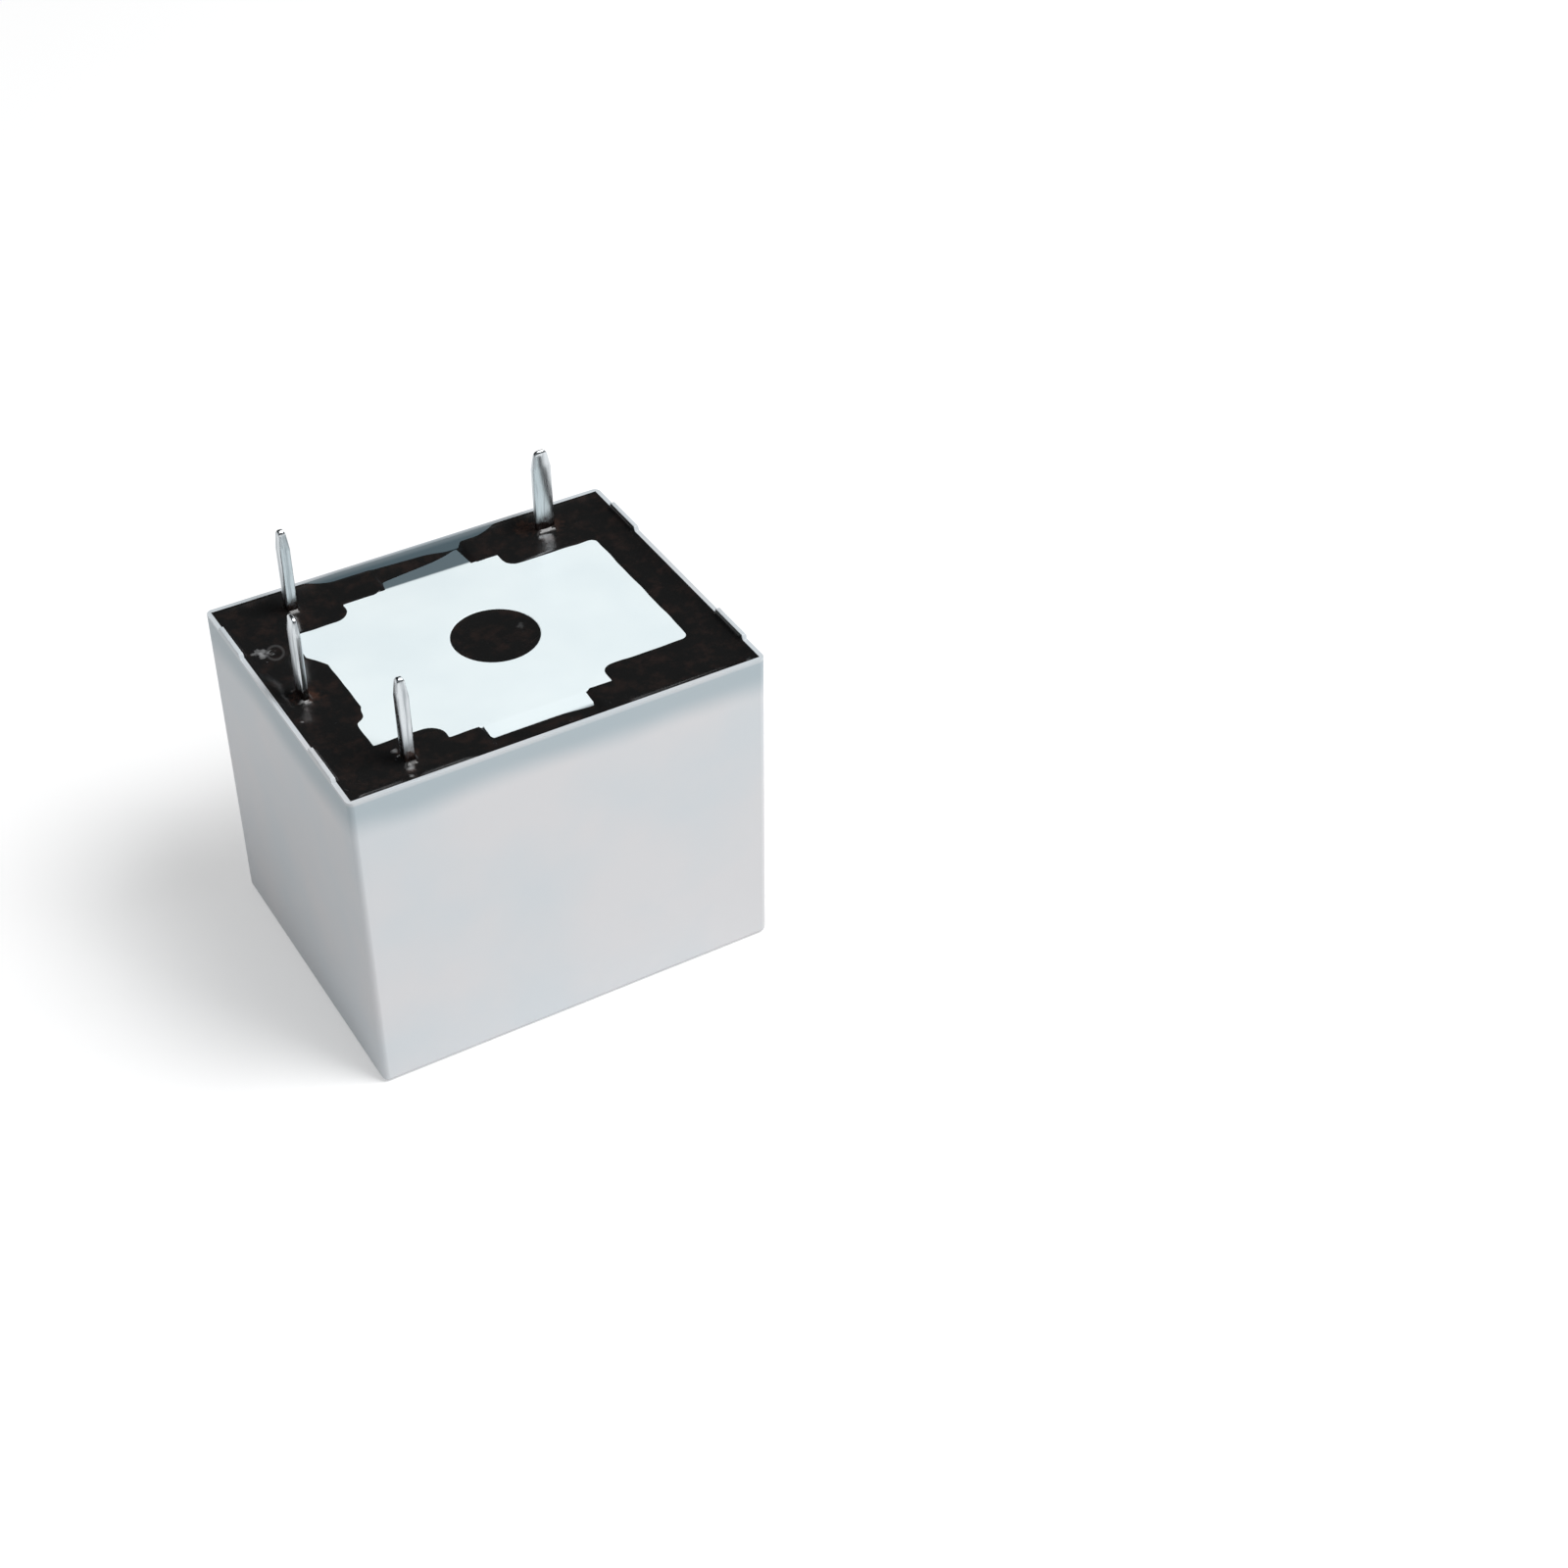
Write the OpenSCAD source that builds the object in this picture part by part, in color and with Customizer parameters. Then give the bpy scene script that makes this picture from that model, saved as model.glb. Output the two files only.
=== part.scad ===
// Sealed PCB power relay with one normally open contact, drawn pins up.
// It stands on the closed top of its cover. +X runs along the long side towards
// the switched pin, +Y to the back and +Z out of the pin side.

/* [Cover] */
// Length of the cover along X
body_l = 19; // [18.8:0.1:19.6]
// Width of the cover along Y
body_w = 15.2; // [15.2:0.1:15.8]
// Height of the open rim above the closed top
rim_z = 15.5; // [15.4:0.05:15.8]
// Thickness of the side walls round the base
wall_t = 0.6; // [0.5:0.05:0.6]
// Extra thickness of the side walls below the base, which forms its ledge
ledge_w = 0.2; // [0.1:0.05:0.2]
// Thickness of the closed top
roof_t = 0.8; // [0.6:0.05:0.9]
// Width of the flat on top of the rim, outside its lead-in chamfer
lip_w = 0.2; // [0.15:0.05:0.3]
// Radius of the four upright outer edges
edge_r = 0.2; // [0.15:0.05:0.4]
// Radius of the outer edges round the closed top
roof_r = 0.15; // [0.1:0.05:0.3]
// Height of the stand-off feet above the rim
foot_h = 0.2; // [0.15:0.05:0.3]
// Length of a stand-off foot
foot_l = 2.4; // [1.6:0.1:2.8]
// Distance from the middle of a foot to the centre line
foot_y = 4.8; // [4:0.1:5.4]

/* [Base and seal] */
// Height of the ledge that the base stands on
seat_z = 13.1; // [13:0.05:13.1]
// Thickness of the base plate
plate_t = 1.3; // [1.1:0.05:1.4]
// Height of the base's flat island, flush with the seal
island_z = 15.25; // [15.15:0.05:15.3]
// Clearance round the base plate and in its pin slots
slip = 0.05; // [0.03:0.01:0.08]
// Diameter of the round hole under the core
core_hole_d = 3.85; // [3.8:0.05:4.4]
// Height to which the seal sinks at the middle of the back side
back_dip_z = 15.1; // [15.05:0.01:15.15]
// Height to which the seal sinks at the middle of the front side
front_dip_z = 15.14; // [15.08:0.01:15.2]
// Radius of the hollow in the seal along the long sides
dip_r = 30; // [26:1:36]

/* [Pins] */
// Height of the pin tips above the closed top
tip_z = 19.5; // [19:0.1:20.5]
// Distance of the coil pins from the middle along X
coil_pin_x = 6.2; // [6.1:0.05:6.25]
// Distance of the coil pins from the centre line
coil_pin_y = 6; // [5.9:0.05:6]
// Distance of the common pin from the middle along X
com_pin_x = 8.2; // [8.1:0.05:8.2]
// Distance of the switched pin from the middle along X
no_pin_x = 6; // [6:0.05:6.1]
// Distance of the switched pin from the centre line
no_pin_y = 6; // [6:0.05:6.2]
// Side of a square coil pin
coil_pin_w = 0.5; // [0.4:0.05:0.5]
// Width of a contact pin
blade_w = 0.9; // [0.8:0.05:1]
// Thickness of the contact terminals' strip
blade_t = 0.35; // [0.3:0.05:0.4]
// Length of a pin's tapered tip
taper_l = 0.9; // [0.6:0.1:1.4]

/* [Magnet] */
// Offset of the core from the middle along X
core_x = 0.6; // [0.5:0.05:0.65]
// Diameter of the core
core_d = 4; // [3.6:0.1:4]
// Diameter of the pole shoe
shoe_d = 6.4; // [5.6:0.1:7]
// Diameter of the winding
coil_d = 9; // [8:0.1:9.2]
// Thickness of the yoke and the armature
iron_t = 1.1; // [1:0.05:1.1]
// Width of the yoke
yoke_w = 8.4; // [7.6:0.1:8.4]
// Distance from the core to the yoke's outer face
yoke_reach = 7.4; // [7.3:0.05:7.4]
// Height of the pole face and the yoke's hinge edge
pole_z = 3.3; // [3.2:0.05:3.5]

/* [Contacts] */
// Angle by which the armature drops away from the core at rest
open_angle = 2.4; // [1.8:0.1:2.6]
// Thickness of the contact spring
spring_t = 0.2; // [0.15:0.01:0.2]
// Distance of the contacts from the middle along X
contact_x = 7; // [6.9:0.05:7.05]
// Diameter of the contact rivets
contact_d = 2.6; // [2:0.1:2.8]
// Height of a contact button
contact_h = 0.5; // [0.4:0.05:0.5]
// Air left between the closed contacts
closed_gap = 0.03; // [0.03:0.01:0.06]

/* [Hidden] */
$fn = 64;
over = 1;

// Cover
inner_l = body_l - 2*wall_t;
inner_w = body_w - 2*wall_t;
lip_h = wall_t - lip_w;
foot_draft = 0.08;
stop_w = 0.8;
stop_l = 4;
stop_air = 0.03;

// Base: half outline of the island, as distances from the middle
plate_z = seat_z + plate_t;
island_left = 7.05;
island_right = 7.7;
island_half = 4.4;
bay_depth = 0.63;
bay_half = 1.67;
bay_mouth = 2.6;
wide_left = 4.17;
wide_right = 3.4;
wide_half = 5.45;
left_fillet = 0.7;
right_fillet = 0.5;
right_corner = 0.4;
ramp_left = 2.6;
ramp_right = 2.05;
ramp_slope = 0.12;
rail_w = 0.8;
rail_h = 0.8;
rail_l = 8.4;

// Seal
dip_x = 0.2;
climb_w = 0.9;
climb_short = 0.04;

// Bobbin
flange_t = 0.8;
shoe_flange_t = 1;
shoe_t = 0.8;
shoe_proud = 0.2;
tube_wall = 0.55;
flange_l = 9.8;
flange_w = 11.2;
flange_r = 1;
lug_l = 4;
lug_w = 2.1;
post_l = 1.8;
near_z = seat_z - iron_t;
wind_top = near_z - flange_t;
wind_bottom = pole_z + shoe_proud + shoe_flange_t;
tape_t = 0.1;
tape_bare = 0.6;
lead_d = 0.16;
wrap_turns = 4;
wrap_r = coil_pin_w/sqrt(2) + lead_d/2 + 0.01;

// Core and yoke
spigot_d = 3;
stake_d = 3.6;
stake_h = 0.4;
hinge_x = core_x - yoke_reach;
yoke_toe = core_x + 3.2;

// Armature and contact spring
armature_l = 11.2;
armature_w = 8;
armature_nose_w = 5.2;
nose_l = 3;
rivet_d = 1.1;
rivet_head_d = 1.8;
rivet_head_h = 0.3;
armature_rivet_x = -4;
armature_rivet_y = 1.8;
yoke_rivet_low = 7.2;
yoke_rivet_high = 9.6;
spring_w = 6;
spring_tail_z = 10.8;
spring_free_w = 3;
spring_window = 2.4;
loop_r = iron_t + spring_t/2;
jog_z = 5.7;
jog_x = loop_r - spring_t/2;
jog_angle = 2*atan(jog_x/(jog_z - pole_z));
jog_r = (jog_z - pole_z)/(2*sin(jog_angle));
arm_l = contact_x - hinge_x + 1.2;
shank_d = 1.2;
upset_d = 1.8;
upset_h = 0.25;

// Terminals
com_strip_w = 3;
com_strip_low = 6;
com_bend_low = 11;
com_bend_high = 12.3;
no_strip_right = 8.1;
no_arm_left = 5.9;
fixed_z = pole_z - iron_t + contact_h + closed_gap;
fixed_h = 0.47;
no_arm_z = fixed_z + fixed_h;

function arc(c, r, from, to, steps = 10) =
  [for (i = [0:steps]) let (a = from + (to - from)*i/steps) c + r*[cos(a), sin(a)]];
function backwards(points) =
  [for (i = [len(points) - 1:-1:0]) points[i]];
function mirrored(points) =
  [for (p = backwards(points)) [p.x, -p.y]];

module rounded_rect(l, w, r) {
  square([l - 2*r, w], center = true);
  square([l, w - 2*r], center = true);
  for (x = [-1, 1], y = [-1, 1])
    translate([x*(l/2 - r), y*(w/2 - r)]) circle(r);
}

// An XZ profile drawn in the plane y = 0, thickened by w along Y
module along_y(w) {
  rotate([90, 0, 0]) linear_extrude(w, center = true) children();
}

// A YZ profile drawn in the plane x = 0, thickened by l along X
module along_x(l) {
  rotate([90, 0, 90]) linear_extrude(l, center = true) children();
}

// An upright profile with both lower corners rounded
module tub_profile(w, h, r) {
  translate([0, (h + r)/2]) square([w, h - r], center = true);
  translate([0, h/2]) square([w - 2*r, h], center = true);
  for (s = [-1, 1]) translate([s*(w/2 - r), r]) circle(r);
}

// A frustum on a rectangle, grown by the same amount on all four sides
module flared_box(l, w, z_low, z_high, grow) {
  function side(s) = [
    [-s/2, z_low], [s/2, z_low], [s/2 + grow, z_high], [-s/2 - grow, z_high]
  ];
  intersection() {
    along_y(w + 2*grow + over) polygon(side(l));
    along_x(l + 2*grow + over) polygon(side(w));
  }
}

// The mouth of the cover from z_low up to the rim, with its lead-in chamfer
module mouth(z_low) {
  translate([-inner_l/2, -inner_w/2, z_low]) cube([inner_l, inner_w, rim_z - z_low]);
  flared_box(inner_l, inner_w, rim_z - lip_h, rim_z, lip_h);
}

module foot() {
  along_x(lip_w)
    polygon([
      [-foot_l/2, rim_z - lip_h/2], [foot_l/2, rim_z - lip_h/2],
      [foot_l/2, rim_z], [foot_l/2 - foot_draft, rim_z + foot_h],
      [-foot_l/2 + foot_draft, rim_z + foot_h], [-foot_l/2, rim_z]
    ]);
}

module cover() {
  room_l = inner_l - 2*ledge_w;
  room_w = inner_w - 2*ledge_w;
  stop_x = contact_x - contact_d/2 - stop_w/2 - stop_air;
  stop_z = pole_z - iron_t - spring_t - (stop_x + stop_w/2 - hinge_x)*tan(open_angle) - stop_air;
  color("whitesmoke") {
    difference() {
      intersection() {
        linear_extrude(rim_z) rounded_rect(body_l, body_w, edge_r);
        along_y(body_w + over) tub_profile(body_l, rim_z, roof_r);
        along_x(body_l + over) tub_profile(body_w, rim_z, roof_r);
      }
      translate([-room_l/2, -room_w/2, roof_t]) cube([room_l, room_w, seat_z - roof_t + over/2]);
      mouth(seat_z);
    }
    for (x = [-1, 1], y = [-1, 1])
      translate([x*(body_l - lip_w)/2, y*foot_y, 0]) foot();
    translate([stop_x - stop_w/2, -stop_l/2, roof_t]) cube([stop_w, stop_l, stop_z - roof_t]);
  }
}

// Flat top of the base that stays clear of the seal
module island_outline() {
  half = concat(
    [[bay_depth - island_left, bay_half], [-island_left, bay_mouth], [-island_left, island_half]],
    arc([-wide_left - left_fillet, island_half + left_fillet], left_fillet, -90, 0),
    [[-wide_left, wide_half], [wide_right, wide_half]],
    arc([wide_right + right_fillet, island_half + right_fillet], right_fillet, 180, 270),
    arc([island_right - right_corner, island_half - right_corner], right_corner, 90, 0)
  );
  polygon(concat(half, mirrored(half)));
}

// One sloped side ramp of the base, towards +Y
module ramp() {
  ramp_end = inner_w/2 - slip;
  translate([(ramp_right - ramp_left)/2, 0, 0])
    along_x(ramp_left + ramp_right)
      polygon([
        [wide_half - over, plate_z - plate_t/2], [ramp_end, plate_z - plate_t/2],
        [ramp_end, island_z - ramp_slope*(ramp_end - wide_half)], [wide_half, island_z],
        [wide_half - over, island_z]
      ]);
}

module both_sides() {
  children();
  mirror([0, 1, 0]) children();
}

module island() {
  difference() {
    translate([0, 0, plate_z - plate_t/2])
      linear_extrude(island_z - plate_z + plate_t/2) island_outline();
    translate([core_x, 0, 0]) cylinder(h = rim_z, d = core_hole_d);
  }
  both_sides() ramp();
}

// Upright boxes along the four pins, grown by gap on every side
module pin_ways(gap) {
  function way(x, y, l, w) = [x, y, l + 2*gap, w + 2*gap];
  for (p = [
    way(-coil_pin_x, coil_pin_y, coil_pin_w, coil_pin_w),
    way(-coil_pin_x, -coil_pin_y, coil_pin_w, coil_pin_w),
    way(-com_pin_x, 0, blade_t, blade_w),
    way(no_pin_x, no_pin_y, blade_w, blade_t)
  ])
    translate([p[0], p[1], tip_z/2]) cube([p[2], p[3], tip_z], center = true);
}

module base() {
  rail_y = yoke_w/2 + slip;
  color("white") difference() {
    union() {
      difference() {
        translate([0, 0, seat_z + plate_t/2])
          cube([inner_l - 2*slip, inner_w - 2*slip, plate_t], center = true);
        translate([core_x, 0, 0]) cylinder(h = rim_z, d = core_hole_d);
      }
      island();
      both_sides()
        translate([-rail_l/2, rail_y, seat_z - rail_h]) cube([rail_l, rail_w, rail_h + plate_t/2]);
    }
    pin_ways(slip);
  }
}

// Hollow in the seal along the middle of the side towards +Y
module seal_dip(low_z) {
  translate([dip_x, wide_half + body_w/2, low_z + dip_r])
    rotate([90, 0, 0]) cylinder(h = body_w, r = dip_r, center = true, $fn = 180);
}

module epoxy_seal() {
  dish_l = inner_l + 2*lip_h - 2*climb_w;
  dish_w = inner_w + 2*lip_h - 2*climb_w;
  color("#1c1816") difference() {
    mouth(plate_z);
    flared_box(dish_l, dish_w, island_z, rim_z - climb_short, climb_w);
    translate([0, 0, rim_z - climb_short + over/2]) cube([body_l, body_w, over], center = true);
    island();
    translate([0, 0, plate_z - over]) linear_extrude(rim_z) island_outline();
    seal_dip(back_dip_z);
    mirror([0, 1, 0]) seal_dip(front_dip_z);
    pin_ways(0);
  }
}

module core_hole_seal() {
  stake_top = seat_z + stake_h;
  color("#1c1816")
    translate([core_x, 0, stake_top]) cylinder(h = island_z - stake_top, d = core_hole_d);
}

// Upright side of a pin w wide from z_low to its rounded, tapered tip
module pin_side(w, z_low) {
  tip_r = w*0.28;
  polygon(concat(
    [[-w/2, z_low], [w/2, z_low], [w/2, tip_z - taper_l]],
    arc([0, tip_z - tip_r], tip_r, 15, 165),
    [[-w/2, tip_z - taper_l]]
  ));
}

module pin(l, w, z_low) {
  intersection() {
    along_y(w) pin_side(l, z_low);
    along_x(l) pin_side(w, z_low);
  }
}

module no_terminal() {
  arm_r = no_strip_right - contact_x;
  color("gainsboro") difference() {
    union() {
      translate([no_pin_x, no_pin_y, 0]) pin(blade_w, blade_t, seat_z - over);
      translate([no_pin_x - blade_w/2, no_pin_y - blade_t/2, no_arm_z])
        cube([no_strip_right - no_pin_x + blade_w/2, blade_t, seat_z - no_arm_z]);
      translate([0, 0, no_arm_z]) linear_extrude(blade_t) {
        translate([no_arm_left, 0]) square([no_strip_right - no_arm_left, no_pin_y]);
        translate([contact_x, 0]) circle(arm_r);
      }
    }
    translate([contact_x, 0, 0]) cylinder(h = seat_z, d = shank_d);
  }
}

module com_terminal() {
  strip_x = hinge_x - spring_t;
  pin_face = blade_t/2 - com_pin_x;
  color("gainsboro") {
    difference() {
      along_y(com_strip_w)
        polygon([
          [strip_x - blade_t, com_strip_low], [strip_x, com_strip_low], [strip_x, com_bend_low],
          [pin_face, com_bend_high], [pin_face, seat_z], [pin_face - blade_t, seat_z],
          [pin_face - blade_t, com_bend_high], [strip_x - blade_t, com_bend_low]
        ]);
      yoke_rivet_holes();
    }
    translate([-com_pin_x, 0, 0]) pin(blade_t, blade_w, seat_z - over/2);
  }
}

module coil_terminal(side) {
  color("gainsboro")
    translate([-coil_pin_x, side*coil_pin_y, 0]) pin(coil_pin_w, coil_pin_w, wind_top - post_l);
}

module coil_terminal_front() {
  coil_terminal(-1);
}

module coil_terminal_back() {
  coil_terminal(1);
}

module bobbin() {
  shoe_seat = pole_z + shoe_t;
  bore_d = core_d + 2*slip;
  color("#2b2d30") difference() {
    union() {
      translate([core_x, 0, 0]) {
        cylinder(h = near_z, d = bore_d + 2*tube_wall);
        translate([0, 0, wind_top]) linear_extrude(flange_t) rounded_rect(flange_l, flange_w, flange_r);
        translate([0, 0, wind_bottom - shoe_flange_t])
          linear_extrude(shoe_flange_t) rounded_rect(flange_l, flange_w, flange_r);
      }
      both_sides()
        translate([-coil_pin_x - lug_w/2, coil_pin_y - lug_w*0.65, wind_top]) {
          cube([lug_w, lug_w, seat_z - wind_top]);
          cube([lug_l, lug_w*0.55, flange_t]);
        }
    }
    translate([core_x, 0, -over]) {
      cylinder(h = rim_z, d = bore_d);
      cylinder(h = shoe_seat + over, d = shoe_d + 2*slip);
      cylinder(h = wind_bottom - shoe_flange_t + over, d = body_w);
    }
    pin_ways(0);
  }
}

module ring(d_in, d_out, z_low, z_high) {
  translate([core_x, 0, z_low]) difference() {
    cylinder(h = z_high - z_low, d = d_out);
    translate([0, 0, -over]) cylinder(h = z_high - z_low + 2*over, d = d_in);
  }
}

module coil_winding() {
  color("#b5651d") ring(core_d + 2*slip + 2*tube_wall, coil_d, wind_bottom, wind_top);
}

module coil_tape() {
  color("khaki") ring(coil_d, coil_d + 2*tape_t, wind_bottom, wind_top - tape_bare);
}

module rod(from, to, d) {
  run = to - from;
  translate(from)
    rotate([0, acos(run.z/norm(run)), atan2(run.y, run.x)]) cylinder(h = norm(run), d = d, $fn = 24);
}

// Wire end wound on a coil pin's inner post and led to the bare end of the winding
module coil_lead(side) {
  lead_z = wind_top - tape_bare/2;
  wrap_z = lead_z - wrap_turns*lead_d;
  post = [-coil_pin_x, side*coil_pin_y];
  toward = ([core_x, 0] - post)/norm([core_x, 0] - post);
  start = post + toward*wrap_r;
  reach = norm([core_x, 0] - start) - coil_d/2;
  finish = start + toward*reach;
  color("#b5651d") {
    translate([post.x, post.y, 0]) rotate_extrude()
      for (i = [0:wrap_turns])
        translate([wrap_r, wrap_z + i*lead_d*0.98]) circle(d = lead_d, $fn = 24);
    rod([start.x, start.y, lead_z], [finish.x, finish.y, lead_z], lead_d);
  }
}

module coil_lead_front() {
  coil_lead(-1);
}

module coil_lead_back() {
  coil_lead(1);
}

module core() {
  color("silver") translate([core_x, 0, 0]) {
    translate([0, 0, pole_z]) cylinder(h = shoe_t, d = shoe_d);
    translate([0, 0, pole_z]) cylinder(h = near_z - pole_z, d = core_d);
    translate([0, 0, pole_z]) cylinder(h = seat_z - pole_z, d = spigot_d);
    translate([0, 0, seat_z]) cylinder(h = stake_h, d = stake_d);
  }
}

module yoke() {
  color("silver") difference() {
    along_y(yoke_w)
      polygon([
        [hinge_x, pole_z], [hinge_x + iron_t, pole_z], [hinge_x + iron_t, near_z],
        [yoke_toe, near_z], [yoke_toe, seat_z], [hinge_x, seat_z]
      ]);
    translate([core_x, 0, 0]) cylinder(h = rim_z, d = spigot_d);
    yoke_rivet_holes();
  }
}

module yoke_rivet_holes() {
  for (z = [yoke_rivet_low, yoke_rivet_high])
    translate([hinge_x, 0, z]) rotate([0, 90, 0]) cylinder(h = body_w, d = rivet_d, center = true);
}

module yoke_rivets() {
  strip_face = hinge_x - spring_t - blade_t;
  color("lightgrey")
    for (z = [yoke_rivet_low, yoke_rivet_high]) {
      translate([strip_face - rivet_head_h, 0, z])
        rotate([0, 90, 0]) cylinder(h = rivet_head_h, d = rivet_head_d);
      translate([strip_face, 0, z])
        rotate([0, 90, 0]) cylinder(h = hinge_x + iron_t - strip_face, d = rivet_d);
    }
}

// Pieces drawn with the armature pulled in, dropped back to their place at rest
module released() {
  translate([hinge_x, 0, pole_z]) rotate([0, open_angle, 0]) translate([-hinge_x, 0, -pole_z])
    children();
}

module armature_rivet_places() {
  for (y = [-armature_rivet_y, armature_rivet_y])
    translate([armature_rivet_x, y, pole_z - iron_t]) children();
}

module armature() {
  tip_x = hinge_x + armature_l;
  color("silver") released() difference() {
    translate([0, 0, pole_z - iron_t]) linear_extrude(iron_t)
      polygon([
        [hinge_x, -armature_w/2], [tip_x - nose_l, -armature_w/2], [tip_x, -armature_nose_w/2],
        [tip_x, armature_nose_w/2], [tip_x - nose_l, armature_w/2], [hinge_x, armature_w/2]
      ]);
    armature_rivet_places() cylinder(h = 4*iron_t, d = rivet_d, center = true);
  }
}

module armature_rivets() {
  color("lightgrey") released() armature_rivet_places() {
    cylinder(h = iron_t, d = rivet_d);
    translate([0, 0, -spring_t]) cylinder(h = spring_t, d = rivet_d);
    translate([0, 0, -spring_t - rivet_head_h]) cylinder(h = rivet_head_h, d = rivet_head_d);
  }
}

// One face of the spring, from the tail on the yoke round the hinge to the free end
function spring_face(side) =
  let (
    hinge = [hinge_x, pole_z],
    off = side*spring_t/2,
    tail_x = hinge_x - spring_t/2,
    last = 270 - open_angle
  )
  concat(
    [[tail_x - off, spring_tail_z]],
    arc([tail_x - jog_r, jog_z], jog_r - off, 0, -jog_angle),
    arc([hinge_x - loop_r + jog_r, pole_z], jog_r + off, 180 - jog_angle, 180),
    arc(hinge, loop_r + off, 180, last),
    [hinge + (loop_r + off)*[cos(last), sin(last)] + arm_l*[cos(open_angle), -sin(open_angle)]]
  );

// Plan of the spring, wide over the armature and narrow at the contact
module spring_plan() {
  taper_from = core_x;
  taper_to = contact_x - contact_d;
  polygon([
    [-body_l, -spring_w/2], [taper_from, -spring_w/2], [taper_to, -spring_free_w/2],
    [body_l, -spring_free_w/2], [body_l, spring_free_w/2], [taper_to, spring_free_w/2],
    [taper_from, spring_w/2], [-body_l, spring_w/2]
  ]);
}

// Leaf spring with two legs round the hinge
module contact_spring() {
  window_l = hinge_x + body_l/2 + iron_t;
  color("peru") difference() {
    intersection() {
      along_y(spring_w) polygon(concat(spring_face(1), backwards(spring_face(-1))));
      linear_extrude(rim_z) spring_plan();
    }
    translate([-body_l/2, -spring_window/2, 0]) cube([window_l, spring_window, jog_z - spring_t]);
    yoke_rivet_holes();
    released() {
      armature_rivet_places() cylinder(h = 4*iron_t, d = rivet_d, center = true);
      translate([contact_x, 0, 0]) cylinder(h = pole_z, d = shank_d);
    }
  }
}

// Contact rivet with its face up: button on the strip, shank through it and upset end below
module contact_rivet(strip_t, button_h) {
  edge = 0.2;
  rotate_extrude()
    polygon([
      [0, button_h], [contact_d/2 - edge, button_h], [contact_d/2, button_h - edge],
      [contact_d/2, 0], [shank_d/2, 0], [shank_d/2, -strip_t],
      [upset_d/2, -strip_t], [upset_d/2, -strip_t - upset_h], [0, -strip_t - upset_h]
    ]);
}

module moving_contact() {
  color("silver") released()
    translate([contact_x, 0, pole_z - iron_t]) contact_rivet(spring_t, contact_h);
}

module fixed_contact() {
  color("silver")
    translate([contact_x, 0, no_arm_z]) mirror([0, 0, 1]) contact_rivet(blade_t, fixed_h);
}

cover();
base();
epoxy_seal();
core_hole_seal();
no_terminal();
com_terminal();
coil_terminal_front();
coil_terminal_back();
bobbin();
coil_winding();
coil_tape();
coil_lead_front();
coil_lead_back();
core();
yoke();
armature();
contact_spring();
moving_contact();
fixed_contact();
yoke_rivets();
armature_rivets();
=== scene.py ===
import math

import bmesh
import bpy
import numpy as np
from mathutils import Matrix, Vector, noise


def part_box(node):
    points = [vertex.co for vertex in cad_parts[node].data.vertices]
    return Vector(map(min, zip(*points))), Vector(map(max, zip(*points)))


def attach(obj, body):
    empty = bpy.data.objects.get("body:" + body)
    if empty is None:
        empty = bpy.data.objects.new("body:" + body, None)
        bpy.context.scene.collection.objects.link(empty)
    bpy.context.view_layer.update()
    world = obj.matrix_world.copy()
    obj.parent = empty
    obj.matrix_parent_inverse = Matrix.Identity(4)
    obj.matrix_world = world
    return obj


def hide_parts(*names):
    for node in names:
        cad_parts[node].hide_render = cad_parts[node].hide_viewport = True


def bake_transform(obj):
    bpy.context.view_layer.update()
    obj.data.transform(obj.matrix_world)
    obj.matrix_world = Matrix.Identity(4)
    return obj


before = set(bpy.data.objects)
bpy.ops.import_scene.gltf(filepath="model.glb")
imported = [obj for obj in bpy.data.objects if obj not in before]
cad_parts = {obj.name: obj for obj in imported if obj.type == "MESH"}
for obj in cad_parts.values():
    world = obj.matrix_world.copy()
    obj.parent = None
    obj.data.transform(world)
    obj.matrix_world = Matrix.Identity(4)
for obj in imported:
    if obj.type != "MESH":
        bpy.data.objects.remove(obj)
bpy.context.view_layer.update()  # metres, with the origin in the middle of the closed top that the relay stands on
mm = 0.001
print("frame loaded with", len(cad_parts), "nodes")


# Helpers for materials and pieces

near = 0.01 * mm  # places closer than this are the same place
weld = 0.002 * mm  # vertices closer than this are merged
flatAngle = 0.5  # degrees within which two faces of a node are one flat
levelTilt = 0.9  # a face is level when its normal's z is over this
uprightTilt = 0.1  # and upright when it is under this
noiseLow, noiseHigh = 0.3, 0.7  # most of a noise texture lies between these


def linear(hexCode):
    channels = [int(hexCode[i:i + 2], 16) / 255 for i in (1, 3, 5)]
    return [c / 12.92 if c <= 0.04045 else ((c + 0.055) / 1.055) ** 2.4 for c in channels] + [1.0]


def perMetre(sizeMm):  # pattern scale that gives features of this size
    return 1000 / sizeMm


def addNode(tree, kind, settings=None, links=None):
    # A Mix node of colours takes them on sockets 6 and 7, and gives the mixture on output 2
    node = tree.nodes.new(kind)
    for key, value in (settings or {}).items():
        if key == "ramp":
            for element, (position, hexCode) in zip(node.color_ramp.elements, value):
                element.position = position
                element.color = linear(hexCode)
        elif isinstance(key, int) or key in node.inputs:
            node.inputs[key].default_value = value
        else:
            setattr(node, key, value)
    for key, source in (links or {}).items():
        tree.links.new(source, node.inputs[key])
    return node


def startMaterial(name, settings):
    material = bpy.data.materials.new(name)
    material.use_nodes = True
    tree = material.node_tree
    tree.nodes.clear()
    shader = addNode(tree, "ShaderNodeBsdfPrincipled", settings)
    addNode(tree, "ShaderNodeOutputMaterial", links={"Surface": shader.outputs[0]})
    place = addNode(tree, "ShaderNodeTexCoord").outputs["Object"]
    return material, tree, shader, place


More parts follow.
